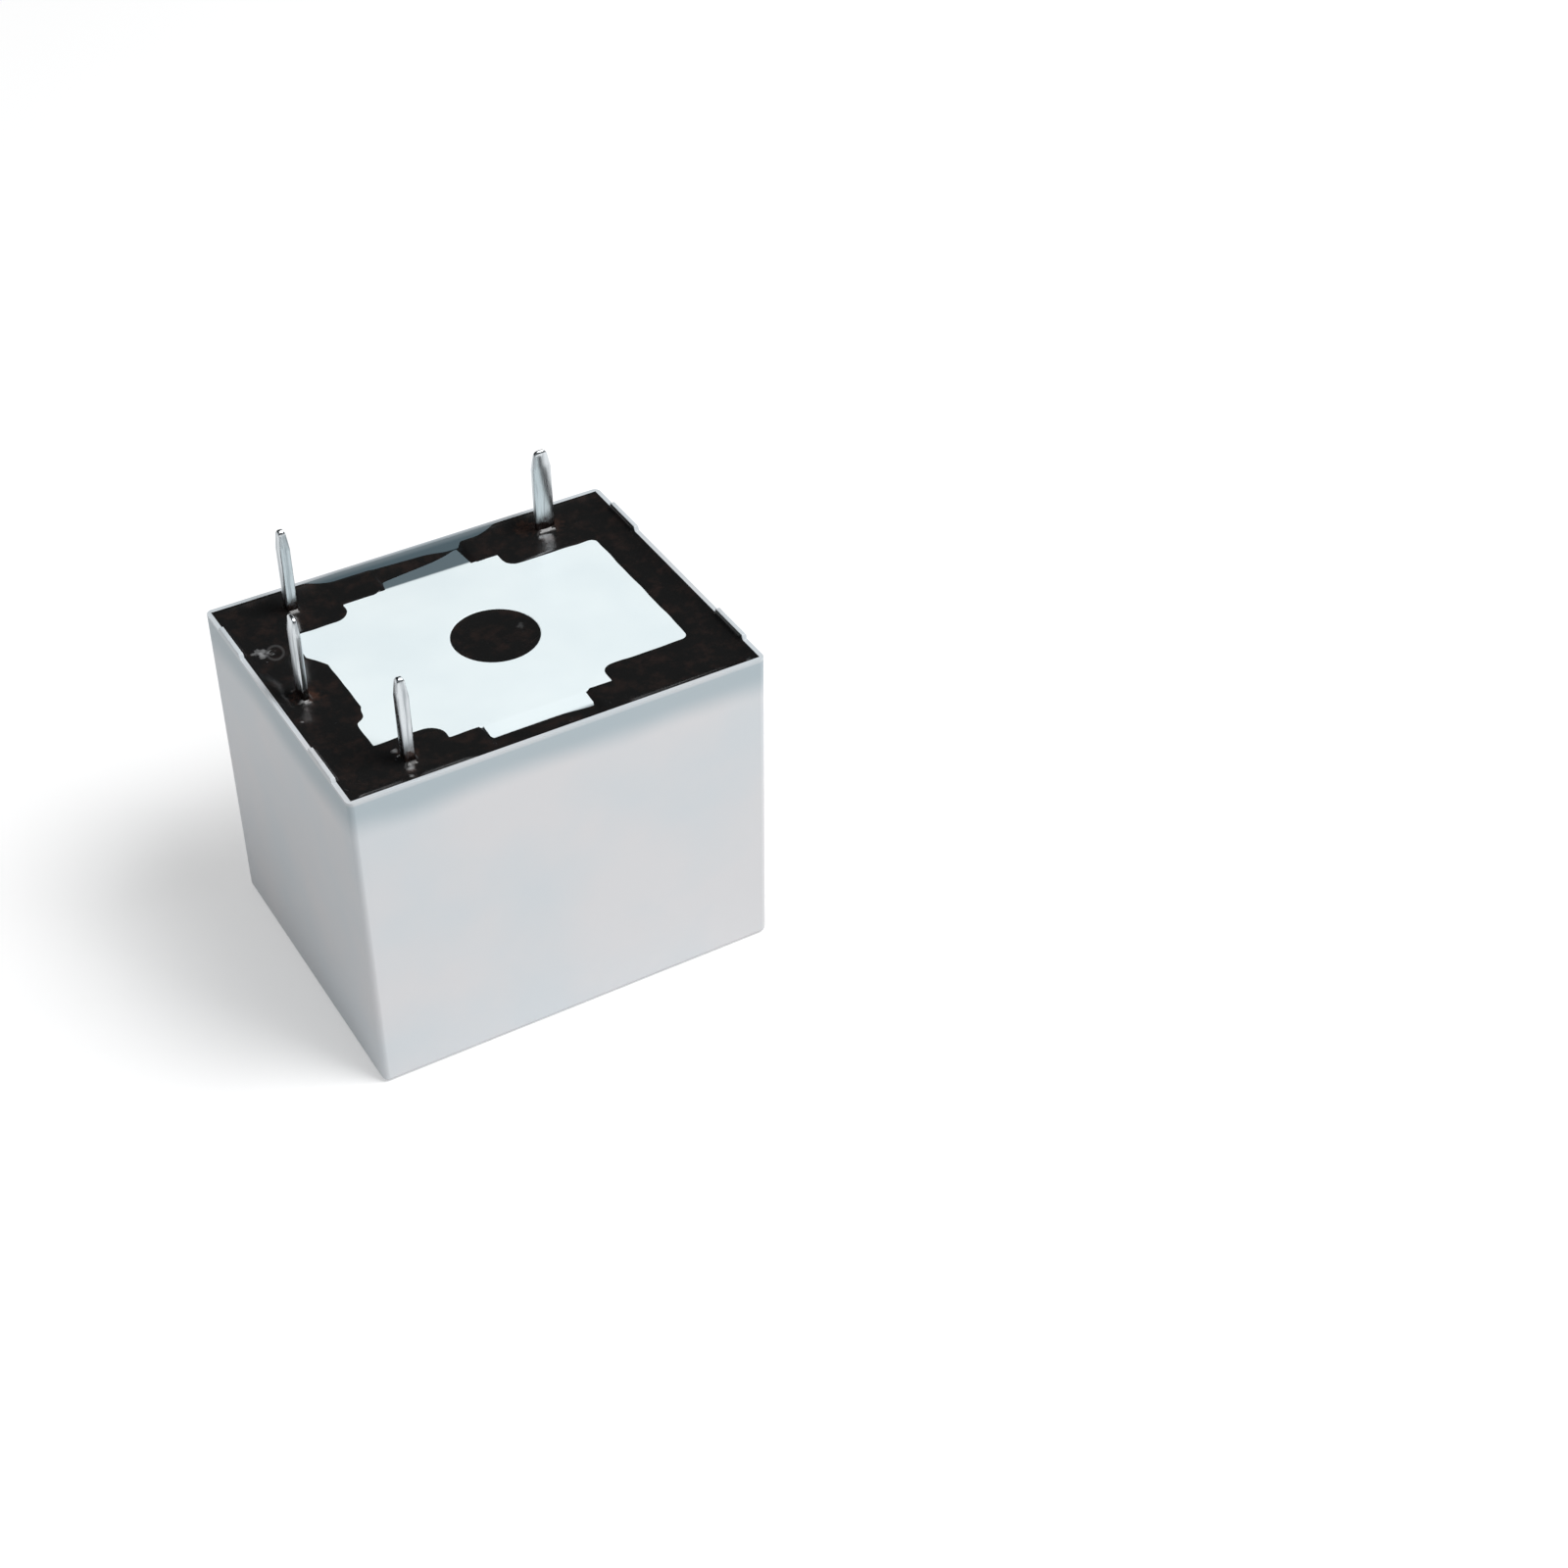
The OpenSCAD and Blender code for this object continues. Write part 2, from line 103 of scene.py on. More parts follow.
def cadCopy(nodeName):
    bm = bmesh.new()
    bm.from_mesh(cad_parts[nodeName].data)
    bmesh.ops.remove_doubles(bm, verts=bm.verts, dist=weld)
    bmesh.ops.dissolve_limit(bm, angle_limit=math.radians(flatAngle), verts=bm.verts, edges=bm.edges)
    return bm


def boxMesh(low, high):
    bm = bmesh.new()
    spread = Matrix.Diagonal(high - low).to_4x4()
    bmesh.ops.create_cube(bm, size=1, matrix=Matrix.Translation((low + high) / 2) @ spread)
    return bm


def turned(outline, axis, steps, isClosed=False):  # an outline of radius and height, about an upright axis
    bm = bmesh.new()
    profile = [bm.verts.new((axis.x + radius, axis.y, z)) for radius, z in outline]
    ends = profile[1:] + profile[:1] if isClosed else profile[1:]
    lines = [bm.edges.new(pair) for pair in zip(profile, ends)]
    bmesh.ops.spin(bm, geom=profile + lines, cent=axis, axis=(0, 0, 1), angle=2 * math.pi, steps=steps,
                   use_merge=True)
    bmesh.ops.remove_doubles(bm, verts=bm.verts, dist=weld)
    bmesh.ops.recalc_face_normals(bm, faces=bm.faces)
    return bm


def softenEdges(bm, edges, width, segments=2):
    bmesh.ops.bevel(bm, geom=list(edges), offset=width * mm, offset_type="OFFSET", segments=segments,
                    profile=0.5, affect="EDGES", material=-1, clamp_overlap=True)


def sharpEdges(bm, smallest=30):
    limit = math.radians(smallest)
    return [e for e in bm.edges if len(e.link_faces) == 2 and e.calc_face_angle() > limit]


def cutAt(bm, place, normal, dropBeyond=False):
    bmesh.ops.bisect_plane(bm, geom=bm.verts[:] + bm.edges[:] + bm.faces[:], plane_co=place,
                           plane_no=normal, clear_outer=dropBeyond)


def looseObject(name, bm):
    mesh = bpy.data.meshes.new(name)
    bm.to_mesh(mesh)
    bm.free()
    loose = bpy.data.objects.new(name, mesh)
    bpy.context.scene.collection.objects.link(loose)
    return loose


def joinOrCut(bm, others, operation):
    block = looseObject("block", bm)
    for other in others:
        step = block.modifiers.new(other.name, "BOOLEAN")
        step.operation = operation
        step.solver = "EXACT"
        step.object = other
    shaped = block.evaluated_get(bpy.context.evaluated_depsgraph_get()).to_mesh()
    result = bmesh.new()
    result.from_mesh(shaped)
    bpy.data.meshes.remove(block.data)  # its object goes with it
    return result


def makePiece(name, bm, material, replaced, body="housing", sharpAngle=32, flatFaces=False):
    for f in bm.faces:
        f.smooth = True
    for e in sharpEdges(bm, sharpAngle):
        e.smooth = False
    piece = looseObject(name, bm)
    piece.data.materials.append(material)
    if flatFaces:  # large faces shade flat beside their rounded edges
        weighted = piece.modifiers.new("flatFaces", "WEIGHTED_NORMAL")
        weighted.keep_sharp = True
        weighted.weight = 100
    if body:
        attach(piece, body)
    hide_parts(*replaced)
    return piece


def smoothStep(low, high, value):
    t = np.clip((value - low) / (high - low), 0, 1)
    return t * t * (3 - 2 * t)


def between(value, rise, fall):  # 1 from the rise to the fall, softly 0 outside
    return smoothStep(*rise, value) * (1 - smoothStep(*fall, value))


# Places taken from the frame

coverLow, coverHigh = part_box("cover")
sealLow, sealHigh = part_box("epoxy_seal")
holeLow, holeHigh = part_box("core_hole_seal")
sealShort = 0.04 * mm  # the seal's solid stops this far short of the rim and of the mouth's walls
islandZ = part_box("base")[1].z
plateZ = sealLow.z  # top of the base's plate, which the seal lies on
footZ = coverHigh.z
rimZ = sealHigh.z + sealShort
mouth = Vector((sealHigh.x + sealShort, sealHigh.y + sealShort, rimZ))  # corner of the open mouth
holeAxis = Vector(((holeLow.x + holeHigh.x) / 2, 0, islandZ))

# A bubble that burst in the seal, in mm
bubble = {"x": -7.95, "y": 3.57, "radius": 0.3, "depth": 0.12, "steepness": 0.6}


# Materials of the outside

def mouldedCoverPlastic():
    # Off-white PBT from a spark-eroded mould: satin, and the black seal shows faintly through its thin rim
    look = {"tones": ((0.38, "#d7dce0"), (0.62, "#dedee0")), "patchMm": 6.5, "rough": 0.42,
            "sealTint": "#acbbc2", "bandMm": (13.4, 14.85), "bandShare": 0.85, "bandWaveMm": 5.0,
            "bandSwingMm": 0.2, "paleRimMm": (0.2, 0.05), "paleRimShare": 0.3,
            "film": "#2b454f", "filmThinMm": 0.15, "filmShare": (0.85, 0.98), "filmRough": 0.66,
            "spillMm": 0.25, "spillShare": 0.7, "spillEndsMm": (6.5, 3.5), "smear": "#15110f",
            "grainMm": 0.14, "grainDepthMm": 0.004}
    bandLow, bandHigh = [z * mm for z in look["bandMm"]]
    paleFrom, paleTo = [rimZ - drop * mm for drop in look["paleRimMm"]]
    thinShare, fullShare = look["filmShare"]
    spillEnd, spillFull = [x * mm for x in look["spillEndsMm"]]
    material, tree, shader, place = startMaterial("mouldedCoverPlastic", {"IOR": 1.5})
    patches = addNode(tree, "ShaderNodeTexNoise", {"Scale": perMetre(look["patchMm"]), "Detail": 3.0},
                      {"Vector": place})
    tone = addNode(tree, "ShaderNodeValToRGB", {"ramp": look["tones"]}, {0: patches.outputs[0]})
    axes = addNode(tree, "ShaderNodeSeparateXYZ", links={0: place})
    # The band under the rim fades out unevenly, and the rounded rim itself stays pale
    waves = addNode(tree, "ShaderNodeTexNoise", {"Scale": perMetre(look["bandWaveMm"]), "Detail": 1.0},
                    {"Vector": place})
    lift = addNode(tree, "ShaderNodeMapRange",
                   {"From Min": noiseLow, "From Max": noiseHigh, "To Min": -look["bandSwingMm"] * mm,
                    "To Max": look["bandSwingMm"] * mm},
                   {"Value": waves.outputs[0]})
    level = addNode(tree, "ShaderNodeMath", {"operation": "ADD"},
                    {0: axes.outputs["Z"], 1: lift.outputs[0]})
    fadeIn = addNode(tree, "ShaderNodeMapRange",
                     {"interpolation_type": "SMOOTHSTEP", "From Min": bandLow, "From Max": bandHigh,
                      "To Max": look["bandShare"]},
                     {"Value": level.outputs[0]})
    fadeOut = addNode(tree, "ShaderNodeMapRange",
                      {"interpolation_type": "SMOOTHSTEP", "From Min": paleFrom, "From Max": paleTo,
                       "To Min": 1.0, "To Max": look["paleRimShare"]},
                      {"Value": axes.outputs["Z"]})
    band = addNode(tree, "ShaderNodeMath", {"operation": "MULTIPLY"},
                   {0: fadeIn.outputs[0], 1: fadeOut.outputs[0]})
    banded = addNode(tree, "ShaderNodeMix", {"data_type": "RGBA", 7: linear(look["sealTint"])},
                     {0: band.outputs[0], 6: tone.outputs[0]})
    # A film of seal greys the inside of the mouth, thinner towards the rim
    across = addNode(tree, "ShaderNodeMath", {"operation": "ABSOLUTE"}, {0: axes.outputs["Y"]})
    along = addNode(tree, "ShaderNodeMath", {"operation": "ABSOLUTE"}, {0: axes.outputs["X"]})
    inSide = addNode(tree, "ShaderNodeMath", {"operation": "LESS_THAN", 1: mouth.y + near},
                     {0: across.outputs[0]})
    inEnd = addNode(tree, "ShaderNodeMath", {"operation": "LESS_THAN", 1: mouth.x + near},
                    {0: along.outputs[0]})
    inMouth = addNode(tree, "ShaderNodeMath", {"operation": "MULTIPLY"},
                      {0: inSide.outputs[0], 1: inEnd.outputs[0]})
    thinning = addNode(tree, "ShaderNodeMapRange",
                       {"From Min": rimZ, "From Max": rimZ - look["filmThinMm"] * mm,
                        "To Min": thinShare, "To Max": fullShare},
                       {"Value": axes.outputs["Z"]})
    wet = addNode(tree, "ShaderNodeMath", {"operation": "MULTIPLY"},
                  {0: inMouth.outputs[0], 1: thinning.outputs[0]})
    # It spilt a little over the middle of the back rim
    onBackRim = addNode(tree, "ShaderNodeMapRange",
                        {"From Min": mouth.y + look["spillMm"] * mm, "From Max": mouth.y,
                         "To Max": look["spillShare"]},
                        {"Value": axes.outputs["Y"]})
    pastMouth = addNode(tree, "ShaderNodeMath", {"operation": "GREATER_THAN", 1: mouth.y + near / 2},
                        {0: axes.outputs["Y"]})
    onRim = addNode(tree, "ShaderNodeMath", {"operation": "MULTIPLY"},
                    {0: onBackRim.outputs[0], 1: pastMouth.outputs[0]})
    midLength = addNode(tree, "ShaderNodeMapRange", {"From Min": spillEnd, "From Max": spillFull},
                        {"Value": along.outputs[0]})
    spilt = addNode(tree, "ShaderNodeMath", {"operation": "MULTIPLY"},
                    {0: onRim.outputs[0], 1: midLength.outputs[0]})
    wetter = addNode(tree, "ShaderNodeMath", {"operation": "MAXIMUM"},
                     {0: wet.outputs[0], 1: spilt.outputs[0]})
    filmed = addNode(tree, "ShaderNodeMix", {"data_type": "RGBA", 7: linear(look["film"])},
                     {0: wetter.outputs[0], 6: banded.outputs[2]})
    gloss = addNode(tree, "ShaderNodeMapRange", {"To Min": look["rough"], "To Max": look["filmRough"]},
                    {"Value": wetter.outputs[0]})
    tree.links.new(gloss.outputs[0], shader.inputs["Roughness"])
    # A thicker smear blackens the inner sides of the feet
    overRim = addNode(tree, "ShaderNodeMath", {"operation": "GREATER_THAN", 1: rimZ + near},
                      {0: axes.outputs["Z"]})
    onFoot = addNode(tree, "ShaderNodeMath", {"operation": "MULTIPLY"},
                     {0: inMouth.outputs[0], 1: overRim.outputs[0]})
    colour = addNode(tree, "ShaderNodeMix", {"data_type": "RGBA", 7: linear(look["smear"])},
                     {0: onFoot.outputs[0], 6: filmed.outputs[2]})
    tree.links.new(colour.outputs[2], shader.inputs["Base Color"])
    # Real mould grain is about 0.03 mm, drawn coarser so that it shows
    grain = addNode(tree, "ShaderNodeTexNoise", {"Scale": perMetre(look["grainMm"]), "Detail": 2.0},
                    {"Vector": place})
    bump = addNode(tree, "ShaderNodeBump", {"Strength": 0.35, "Distance": look["grainDepthMm"] * mm},
                   {"Height": grain.outputs[0]})
    tree.links.new(bump.outputs[0], shader.inputs["Normal"])
    return material


def mouldedBasePlastic():
    # Natural white filled PBT, brighter and cooler than the cover, with specks and seal smeared on its sides
    look = {"tones": ((0.35, "#e8f3f6"), (0.65, "#eef8fa")), "patchMm": 4.0,
            "speck": "#7d8588", "speckMm": 3.1, "speckReach": (0.03, 0.018), "speckShare": 0.8,
            "film": "#53646c", "backFilmMm": (5.43, 5.6), "backFilmShare": 0.95,
            "frontFilmMm": (-6.15, -6.45), "frontFilmShare": 0.9, "filmOverPlateMm": 0.3,
            "grainMm": 0.12, "grainDepthMm": 0.003}
    speckEdge, speckFull = look["speckReach"]
    material, tree, shader, place = startMaterial("mouldedBasePlastic", {"Roughness": 0.38, "IOR": 1.5})
    patches = addNode(tree, "ShaderNodeTexNoise", {"Scale": perMetre(look["patchMm"]), "Detail": 2.0},
                      {"Vector": place})
    tone = addNode(tree, "ShaderNodeValToRGB", {"ramp": look["tones"]}, {0: patches.outputs[0]})
    cells = addNode(tree, "ShaderNodeTexVoronoi", {"Scale": perMetre(look["speckMm"])}, {"Vector": place})
    dot = addNode(tree, "ShaderNodeMapRange",
                  {"From Min": speckEdge, "From Max": speckFull, "To Max": look["speckShare"]},
                  {"Value": cells.outputs["Distance"]})
    specked = addNode(tree, "ShaderNodeMix", {"data_type": "RGBA", 7: linear(look["speck"])},
                      {0: dot.outputs[0], 6: tone.outputs[0]})
    axes = addNode(tree, "ShaderNodeSeparateXYZ", links={0: place})
    films = []
    for side in ("back", "front"):
        filmEdge, filmFull = [y * mm for y in look[side + "FilmMm"]]
        film = addNode(tree, "ShaderNodeMapRange",
                       {"interpolation_type": "SMOOTHSTEP", "From Min": filmEdge, "From Max": filmFull,
                        "To Max": look[side + "FilmShare"]},
                       {"Value": axes.outputs["Y"]})
        films.append(film.outputs[0])
    wet = addNode(tree, "ShaderNodeMath", {"operation": "MAXIMUM"}, {0: films[0], 1: films[1]})
    filmLow = plateZ + look["filmOverPlateMm"] * mm
    above = addNode(tree, "ShaderNodeMath", {"operation": "GREATER_THAN", 1: filmLow},
                    {0: axes.outputs["Z"]})
    smeared = addNode(tree, "ShaderNodeMath", {"operation": "MULTIPLY"},
                      {0: wet.outputs[0], 1: above.outputs[0]})
    colour = addNode(tree, "ShaderNodeMix", {"data_type": "RGBA", 7: linear(look["film"])},
                     {0: smeared.outputs[0], 6: specked.outputs[2]})
    tree.links.new(colour.outputs[2], shader.inputs["Base Color"])
    # Mould grain, drawn coarser here too
    grain = addNode(tree, "ShaderNodeTexNoise", {"Scale": perMetre(look["grainMm"]), "Detail": 2.0},
                    {"Vector": place})
    bump = addNode(tree, "ShaderNodeBump", {"Strength": 0.3, "Distance": look["grainDepthMm"] * mm},
                   {"Height": grain.outputs[0]})
    tree.links.new(bump.outputs[0], shader.inputs["Normal"])
    return material


def pottedEpoxy():
    # Cast epoxy, brownish black: a glossy skin that dulls in patches, with brown flecks, burst pinholes, and pale
    # painted glints and painted reflections beside the pins
    look = {"tones": ((0.48, "#1a1a1a"), (0.78, "#2f2522")), "fleckMm": 0.9,
            "dullMm": 2.6, "rough": (0.06, 0.3), "rippleMm": 0.8, "rippleDepthMm": 0.012,
            "pinholeMm": 1.1, "pinholeReach": 0.07, "pinholeDepthMm": 0.03,
            "flux": "#4e362c", "paintedGlint": "#959697", "raggedMm": 0.22, "ragged": 2.4, "spotReach": (2.2, 1.3),
            "ringMm": (0.34, 0.5), "ringTurn": -17.5, "ringReach": (0.24, 0.06), "ringGlintShare": 0.13}
    # Brown flux beside the pins, and pale spots of painted glints and painted reflections of the pins on the
    # glossy seal, each spot a place, a radius and how much it covers
    spots = {"flux": ((-8.1, 0.1, 0.7, 0.45), (-7.75, -0.2, 0.4, 0.25), (5.4, 6.5, 0.7, 0.45),
                      (6.6, 6.2, 0.55, 0.4), (-6.0, -5.5, 0.5, 0.35)),
             "paintedGlint": ((5.85, 5.35, 0.34, 0.17), (5.6, 4.86, 0.16, 0.17), (-8.5, 3.76, 0.34, 0.85),
                         (-8.34, -0.35, 0.2, 0.75), (-8.85, -1.5, 0.11, 0.7), (-6.4, -5.13, 0.14, 0.6),
                         (-6.3, -6.5, 0.16, 0.6), (-6.5, -7.0, 0.16, 0.75), (1.85, 0.2, 0.22, 0.14))}
    smooth, rough = look["rough"]
    spotEdge, spotFull = look["spotReach"]
    material, tree, shader, place = startMaterial("pottedEpoxy", {"IOR": 1.5, "Specular IOR Level": 0.45})
    flecks = addNode(tree, "ShaderNodeTexNoise",
                     {"Scale": perMetre(look["fleckMm"]), "Detail": 5.0, "Roughness": 0.7},
                     {"Vector": place})
    tone = addNode(tree, "ShaderNodeValToRGB", {"ramp": look["tones"]}, {0: flecks.outputs[0]})
    fromAbove = addNode(tree, "ShaderNodeVectorMath", {"operation": "MULTIPLY", 1: (1, 1, 0)}, {0: place})
    waves = addNode(tree, "ShaderNodeTexNoise", {"Scale": perMetre(look["raggedMm"]), "Detail": 3.0},
                    {"Vector": place})
    colour = tone.outputs[0]
    # The pale spots drawn here are painted glints and painted reflections; the brown ones are flux
    for markKind, places in spots.items():
        for x, y, radius, share in places:
            away = addNode(tree, "ShaderNodeVectorMath", {"operation": "DISTANCE", 1: (x * mm, y * mm, 0)},
                           {0: fromAbove.outputs[0]})
            spread = addNode(tree, "ShaderNodeMath",
                             {"operation": "MULTIPLY_ADD", 1: radius * look["ragged"] * mm},
                             {0: waves.outputs[0], 2: away.outputs["Value"]})
            spot = addNode(tree, "ShaderNodeMapRange",
                           {"From Min": radius * spotEdge * mm, "From Max": radius * spotFull * mm,
                            "To Max": share},
                           {"Value": spread.outputs[0]})
            colour = addNode(tree, "ShaderNodeMix", {"data_type": "RGBA", 7: linear(look[markKind])},
                             {0: spot.outputs[0], 6: colour}).outputs[2]
    # A painted highlight: a pale oval ring round the rim of the burst bubble
    ringX, ringY = look["ringMm"]
    ringEdge, ringFull = look["ringReach"]
    fromBubble = addNode(tree, "ShaderNodeMapping",
                         {"vector_type": "TEXTURE", "Location": (bubble["x"] * mm, bubble["y"] * mm, 0),
                          "Rotation": (0, 0, math.radians(look["ringTurn"])),
                          "Scale": (ringX * mm, ringY * mm, 1)},
                         {"Vector": fromAbove.outputs[0]})
    away = addNode(tree, "ShaderNodeVectorMath", {"operation": "LENGTH"}, {0: fromBubble.outputs[0]})
    offRing = addNode(tree, "ShaderNodeMath", {"operation": "SUBTRACT", 1: 1.0},
                      {0: away.outputs["Value"]})
    besideRing = addNode(tree, "ShaderNodeMath", {"operation": "ABSOLUTE"}, {0: offRing.outputs[0]})
    ring = addNode(tree, "ShaderNodeMapRange",
                   {"From Min": ringEdge, "From Max": ringFull, "To Max": look["ringGlintShare"]},
                   {"Value": besideRing.outputs[0]})
    ringGlinted = addNode(tree, "ShaderNodeMix", {"data_type": "RGBA", 7: linear(look["paintedGlint"])},
                     {0: ring.outputs[0], 6: colour})
    tree.links.new(ringGlinted.outputs[2], shader.inputs["Base Color"])
    dull = addNode(tree, "ShaderNodeTexNoise", {"Scale": perMetre(look["dullMm"]), "Detail": 3.0},
                   {"Vector": place})
    gloss = addNode(tree, "ShaderNodeMapRange",
                    {"From Min": noiseLow, "From Max": noiseHigh, "To Min": smooth, "To Max": rough},
                    {"Value": dull.outputs[0]})
    tree.links.new(gloss.outputs[0], shader.inputs["Roughness"])
    ripple = addNode(tree, "ShaderNodeTexNoise", {"Scale": perMetre(look["rippleMm"]), "Detail": 2.0},
                     {"Vector": place})
    swells = addNode(tree, "ShaderNodeBump", {"Strength": 0.5, "Distance": look["rippleDepthMm"] * mm},
                     {"Height": ripple.outputs[0]})
    cells = addNode(tree, "ShaderNodeTexVoronoi", {"Scale": perMetre(look["pinholeMm"])}, {"Vector": place})
    pit = addNode(tree, "ShaderNodeMapRange", {"From Max": look["pinholeReach"]},
                  {"Value": cells.outputs["Distance"]})
    pits = addNode(tree, "ShaderNodeBump", {"Strength": 0.6, "Distance": look["pinholeDepthMm"] * mm},
                   {"Height": pit.outputs[0], "Normal": swells.outputs[0]})
    tree.links.new(pits.outputs[0], shader.inputs["Normal"])
    return material


def tinnedCopper():
    # Hot-tinned copper: bright, faintly streaked along the pin, and brown where it leaves the seal, partly from
    # flux and partly a painted reflection of the dark seal
    look = {"tones": ((0.35, "#a7adb1"), (0.55, "#d3d8db")), "streakMm": 0.16, "streakLongMm": 3.0,
            "rough": (0.2, 0.36), "fluxAndReflection": "#4a2c20", "fluxAndReflectionMm": (16.1, 15.72), "fluxAndReflectionShare": 0.9,
            "blotMm": 0.25, "blotSwingMm": 0.25, "fluxAndReflectionOverPlateMm": 0.4}
    smooth, rough = look["rough"]
    fluxAndReflectionEdge, fluxAndReflectionFull = [z * mm for z in look["fluxAndReflectionMm"]]
    material, tree, shader, place = startMaterial("tinnedCopper", {"Metallic": 1.0})
    drawn = addNode(tree, "ShaderNodeMapping",
                    {"Scale": (perMetre(look["streakMm"]), perMetre(look["streakMm"]),
                               perMetre(look["streakLongMm"]))},
                    {"Vector": place})
    streaks = addNode(tree, "ShaderNodeTexNoise", {"Scale": 1.0, "Detail": 2.0},
                      {"Vector": drawn.outputs[0]})
    tone = addNode(tree, "ShaderNodeValToRGB", {"ramp": look["tones"]}, {0: streaks.outputs[0]})
    axes = addNode(tree, "ShaderNodeSeparateXYZ", links={0: place})
    # Brown near the seal: partly a flux stain, partly a painted reflection of the dark seal on the metal
    blots = addNode(tree, "ShaderNodeTexNoise", {"Scale": perMetre(look["blotMm"]), "Detail": 2.0},
                    {"Vector": place})
    lift = addNode(tree, "ShaderNodeMapRange",
                   {"From Min": noiseLow, "From Max": noiseHigh, "To Min": -look["blotSwingMm"] * mm,
                    "To Max": look["blotSwingMm"] * mm},
                   {"Value": blots.outputs[0]})
    height = addNode(tree, "ShaderNodeMath", {"operation": "ADD"},
                     {0: axes.outputs["Z"], 1: lift.outputs[0]})
    low = addNode(tree, "ShaderNodeMapRange",
                  {"interpolation_type": "SMOOTHSTEP", "From Min": fluxAndReflectionEdge, "From Max": fluxAndReflectionFull,
                   "To Max": look["fluxAndReflectionShare"]},
                  {"Value": height.outputs[0]})
    above = addNode(tree, "ShaderNodeMapRange",
                    {"From Min": plateZ, "From Max": plateZ + look["fluxAndReflectionOverPlateMm"] * mm},
                    {"Value": axes.outputs["Z"]})
    fluxAndReflectionMask = addNode(tree, "ShaderNodeMath", {"operation": "MULTIPLY"},
                    {0: low.outputs[0], 1: above.outputs[0]})
    fluxAndReflectionMixed = addNode(tree, "ShaderNodeMix", {"data_type": "RGBA", 7: linear(look["fluxAndReflection"])},
                      {0: fluxAndReflectionMask.outputs[0], 6: tone.outputs[0]})
    tree.links.new(fluxAndReflectionMixed.outputs[2], shader.inputs["Base Color"])
    gloss = addNode(tree, "ShaderNodeMapRange",
                    {"From Min": noiseLow, "From Max": noiseHigh, "To Min": rough, "To Max": smooth},
                    {"Value": streaks.outputs[0]})
    tree.links.new(gloss.outputs[0], shader.inputs["Roughness"])
    return material


coverPlastic = mouldedCoverPlastic()
basePlastic = mouldedBasePlastic()
blackEpoxy = pottedEpoxy()
pinTin = tinnedCopper()
print("outside materials made")


# Materials of the works inside

def mouldedBobbinPlastic():
    # Black glass-filled PBT: satin, with pale fibre streaks that follow the flow of the moulding
    look = {"tones": ((0.45, "#161617"), (0.75, "#2b2b2d")), "fibreMm": 0.5, "fibreLongMm": 3.0,
            "grainMm": 0.1, "grainDepthMm": 0.004}
    material, tree, shader, place = startMaterial("mouldedBobbinPlastic", {"Roughness": 0.5, "IOR": 1.5})
    flow = addNode(tree, "ShaderNodeMapping",
                   {"Scale": (perMetre(look["fibreLongMm"]), perMetre(look["fibreMm"]),
                              perMetre(look["fibreMm"]))},
                   {"Vector": place})
    fibres = addNode(tree, "ShaderNodeTexNoise", {"Scale": 1.0, "Detail": 4.0}, {"Vector": flow.outputs[0]})
    tone = addNode(tree, "ShaderNodeValToRGB", {"ramp": look["tones"]}, {0: fibres.outputs[0]})
    tree.links.new(tone.outputs[0], shader.inputs["Base Color"])
    # Mould grain, drawn coarser here too
    grain = addNode(tree, "ShaderNodeTexNoise", {"Scale": perMetre(look["grainMm"]), "Detail": 2.0},
                    {"Vector": place})
    bump = addNode(tree, "ShaderNodeBump", {"Strength": 0.4, "Distance": look["grainDepthMm"] * mm},
                   {"Height": grain.outputs[0]})
    tree.links.new(bump.outputs[0], shader.inputs["Normal"])
    return material


def enamelledCopper():
    # Copper wire under clear enamel: warm metal with a smooth glossy coat, darker here and there from baking
    look = {"tones": ((0.35, "#8f4420"), (0.65, "#c26a34")), "patchMm": 1.2}
    material, tree, shader, place = startMaterial(
        "enamelledCopper", {"Metallic": 1.0, "Roughness": 0.28, "Coat Weight": 0.6, "Coat Roughness": 0.1})
    patches = addNode(tree, "ShaderNodeTexNoise", {"Scale": perMetre(look["patchMm"]), "Detail": 3.0},
                      {"Vector": place})
    tone = addNode(tree, "ShaderNodeValToRGB", {"ramp": look["tones"]}, {0: patches.outputs[0]})
    tree.links.new(tone.outputs[0], shader.inputs["Base Color"])
    return material


def polyesterTape():
    # Yellow polyester film tape: glossy, and the turns under it print through, as coarse as they are drawn
    look = {"tones": ((0.35, "#b98d22"), (0.65, "#d8b23c")), "patchMm": 2.0, "turnMm": 0.2,
            "turnDepthMm": 0.01}
    material, tree, shader, place = startMaterial("polyesterTape", {"Roughness": 0.22, "IOR": 1.6})
    patches = addNode(tree, "ShaderNodeTexNoise", {"Scale": perMetre(look["patchMm"]), "Detail": 2.0},
                      {"Vector": place})
    tone = addNode(tree, "ShaderNodeValToRGB", {"ramp": look["tones"]}, {0: patches.outputs[0]})
    tree.links.new(tone.outputs[0], shader.inputs["Base Color"])
    wavesPerMetre = perMetre(look["turnMm"]) * math.pi / 10  # a wave texture repeats every pi / 10
    turns = addNode(tree, "ShaderNodeTexWave",
                    {"bands_direction": "Z", "Scale": wavesPerMetre, "Distortion": 0.4},
                    {"Vector": place})
    bump = addNode(tree, "ShaderNodeBump", {"Strength": 0.4, "Distance": look["turnDepthMm"] * mm},
                   {"Height": turns.outputs[1]})
    tree.links.new(bump.outputs[0], shader.inputs["Normal"])
    return material


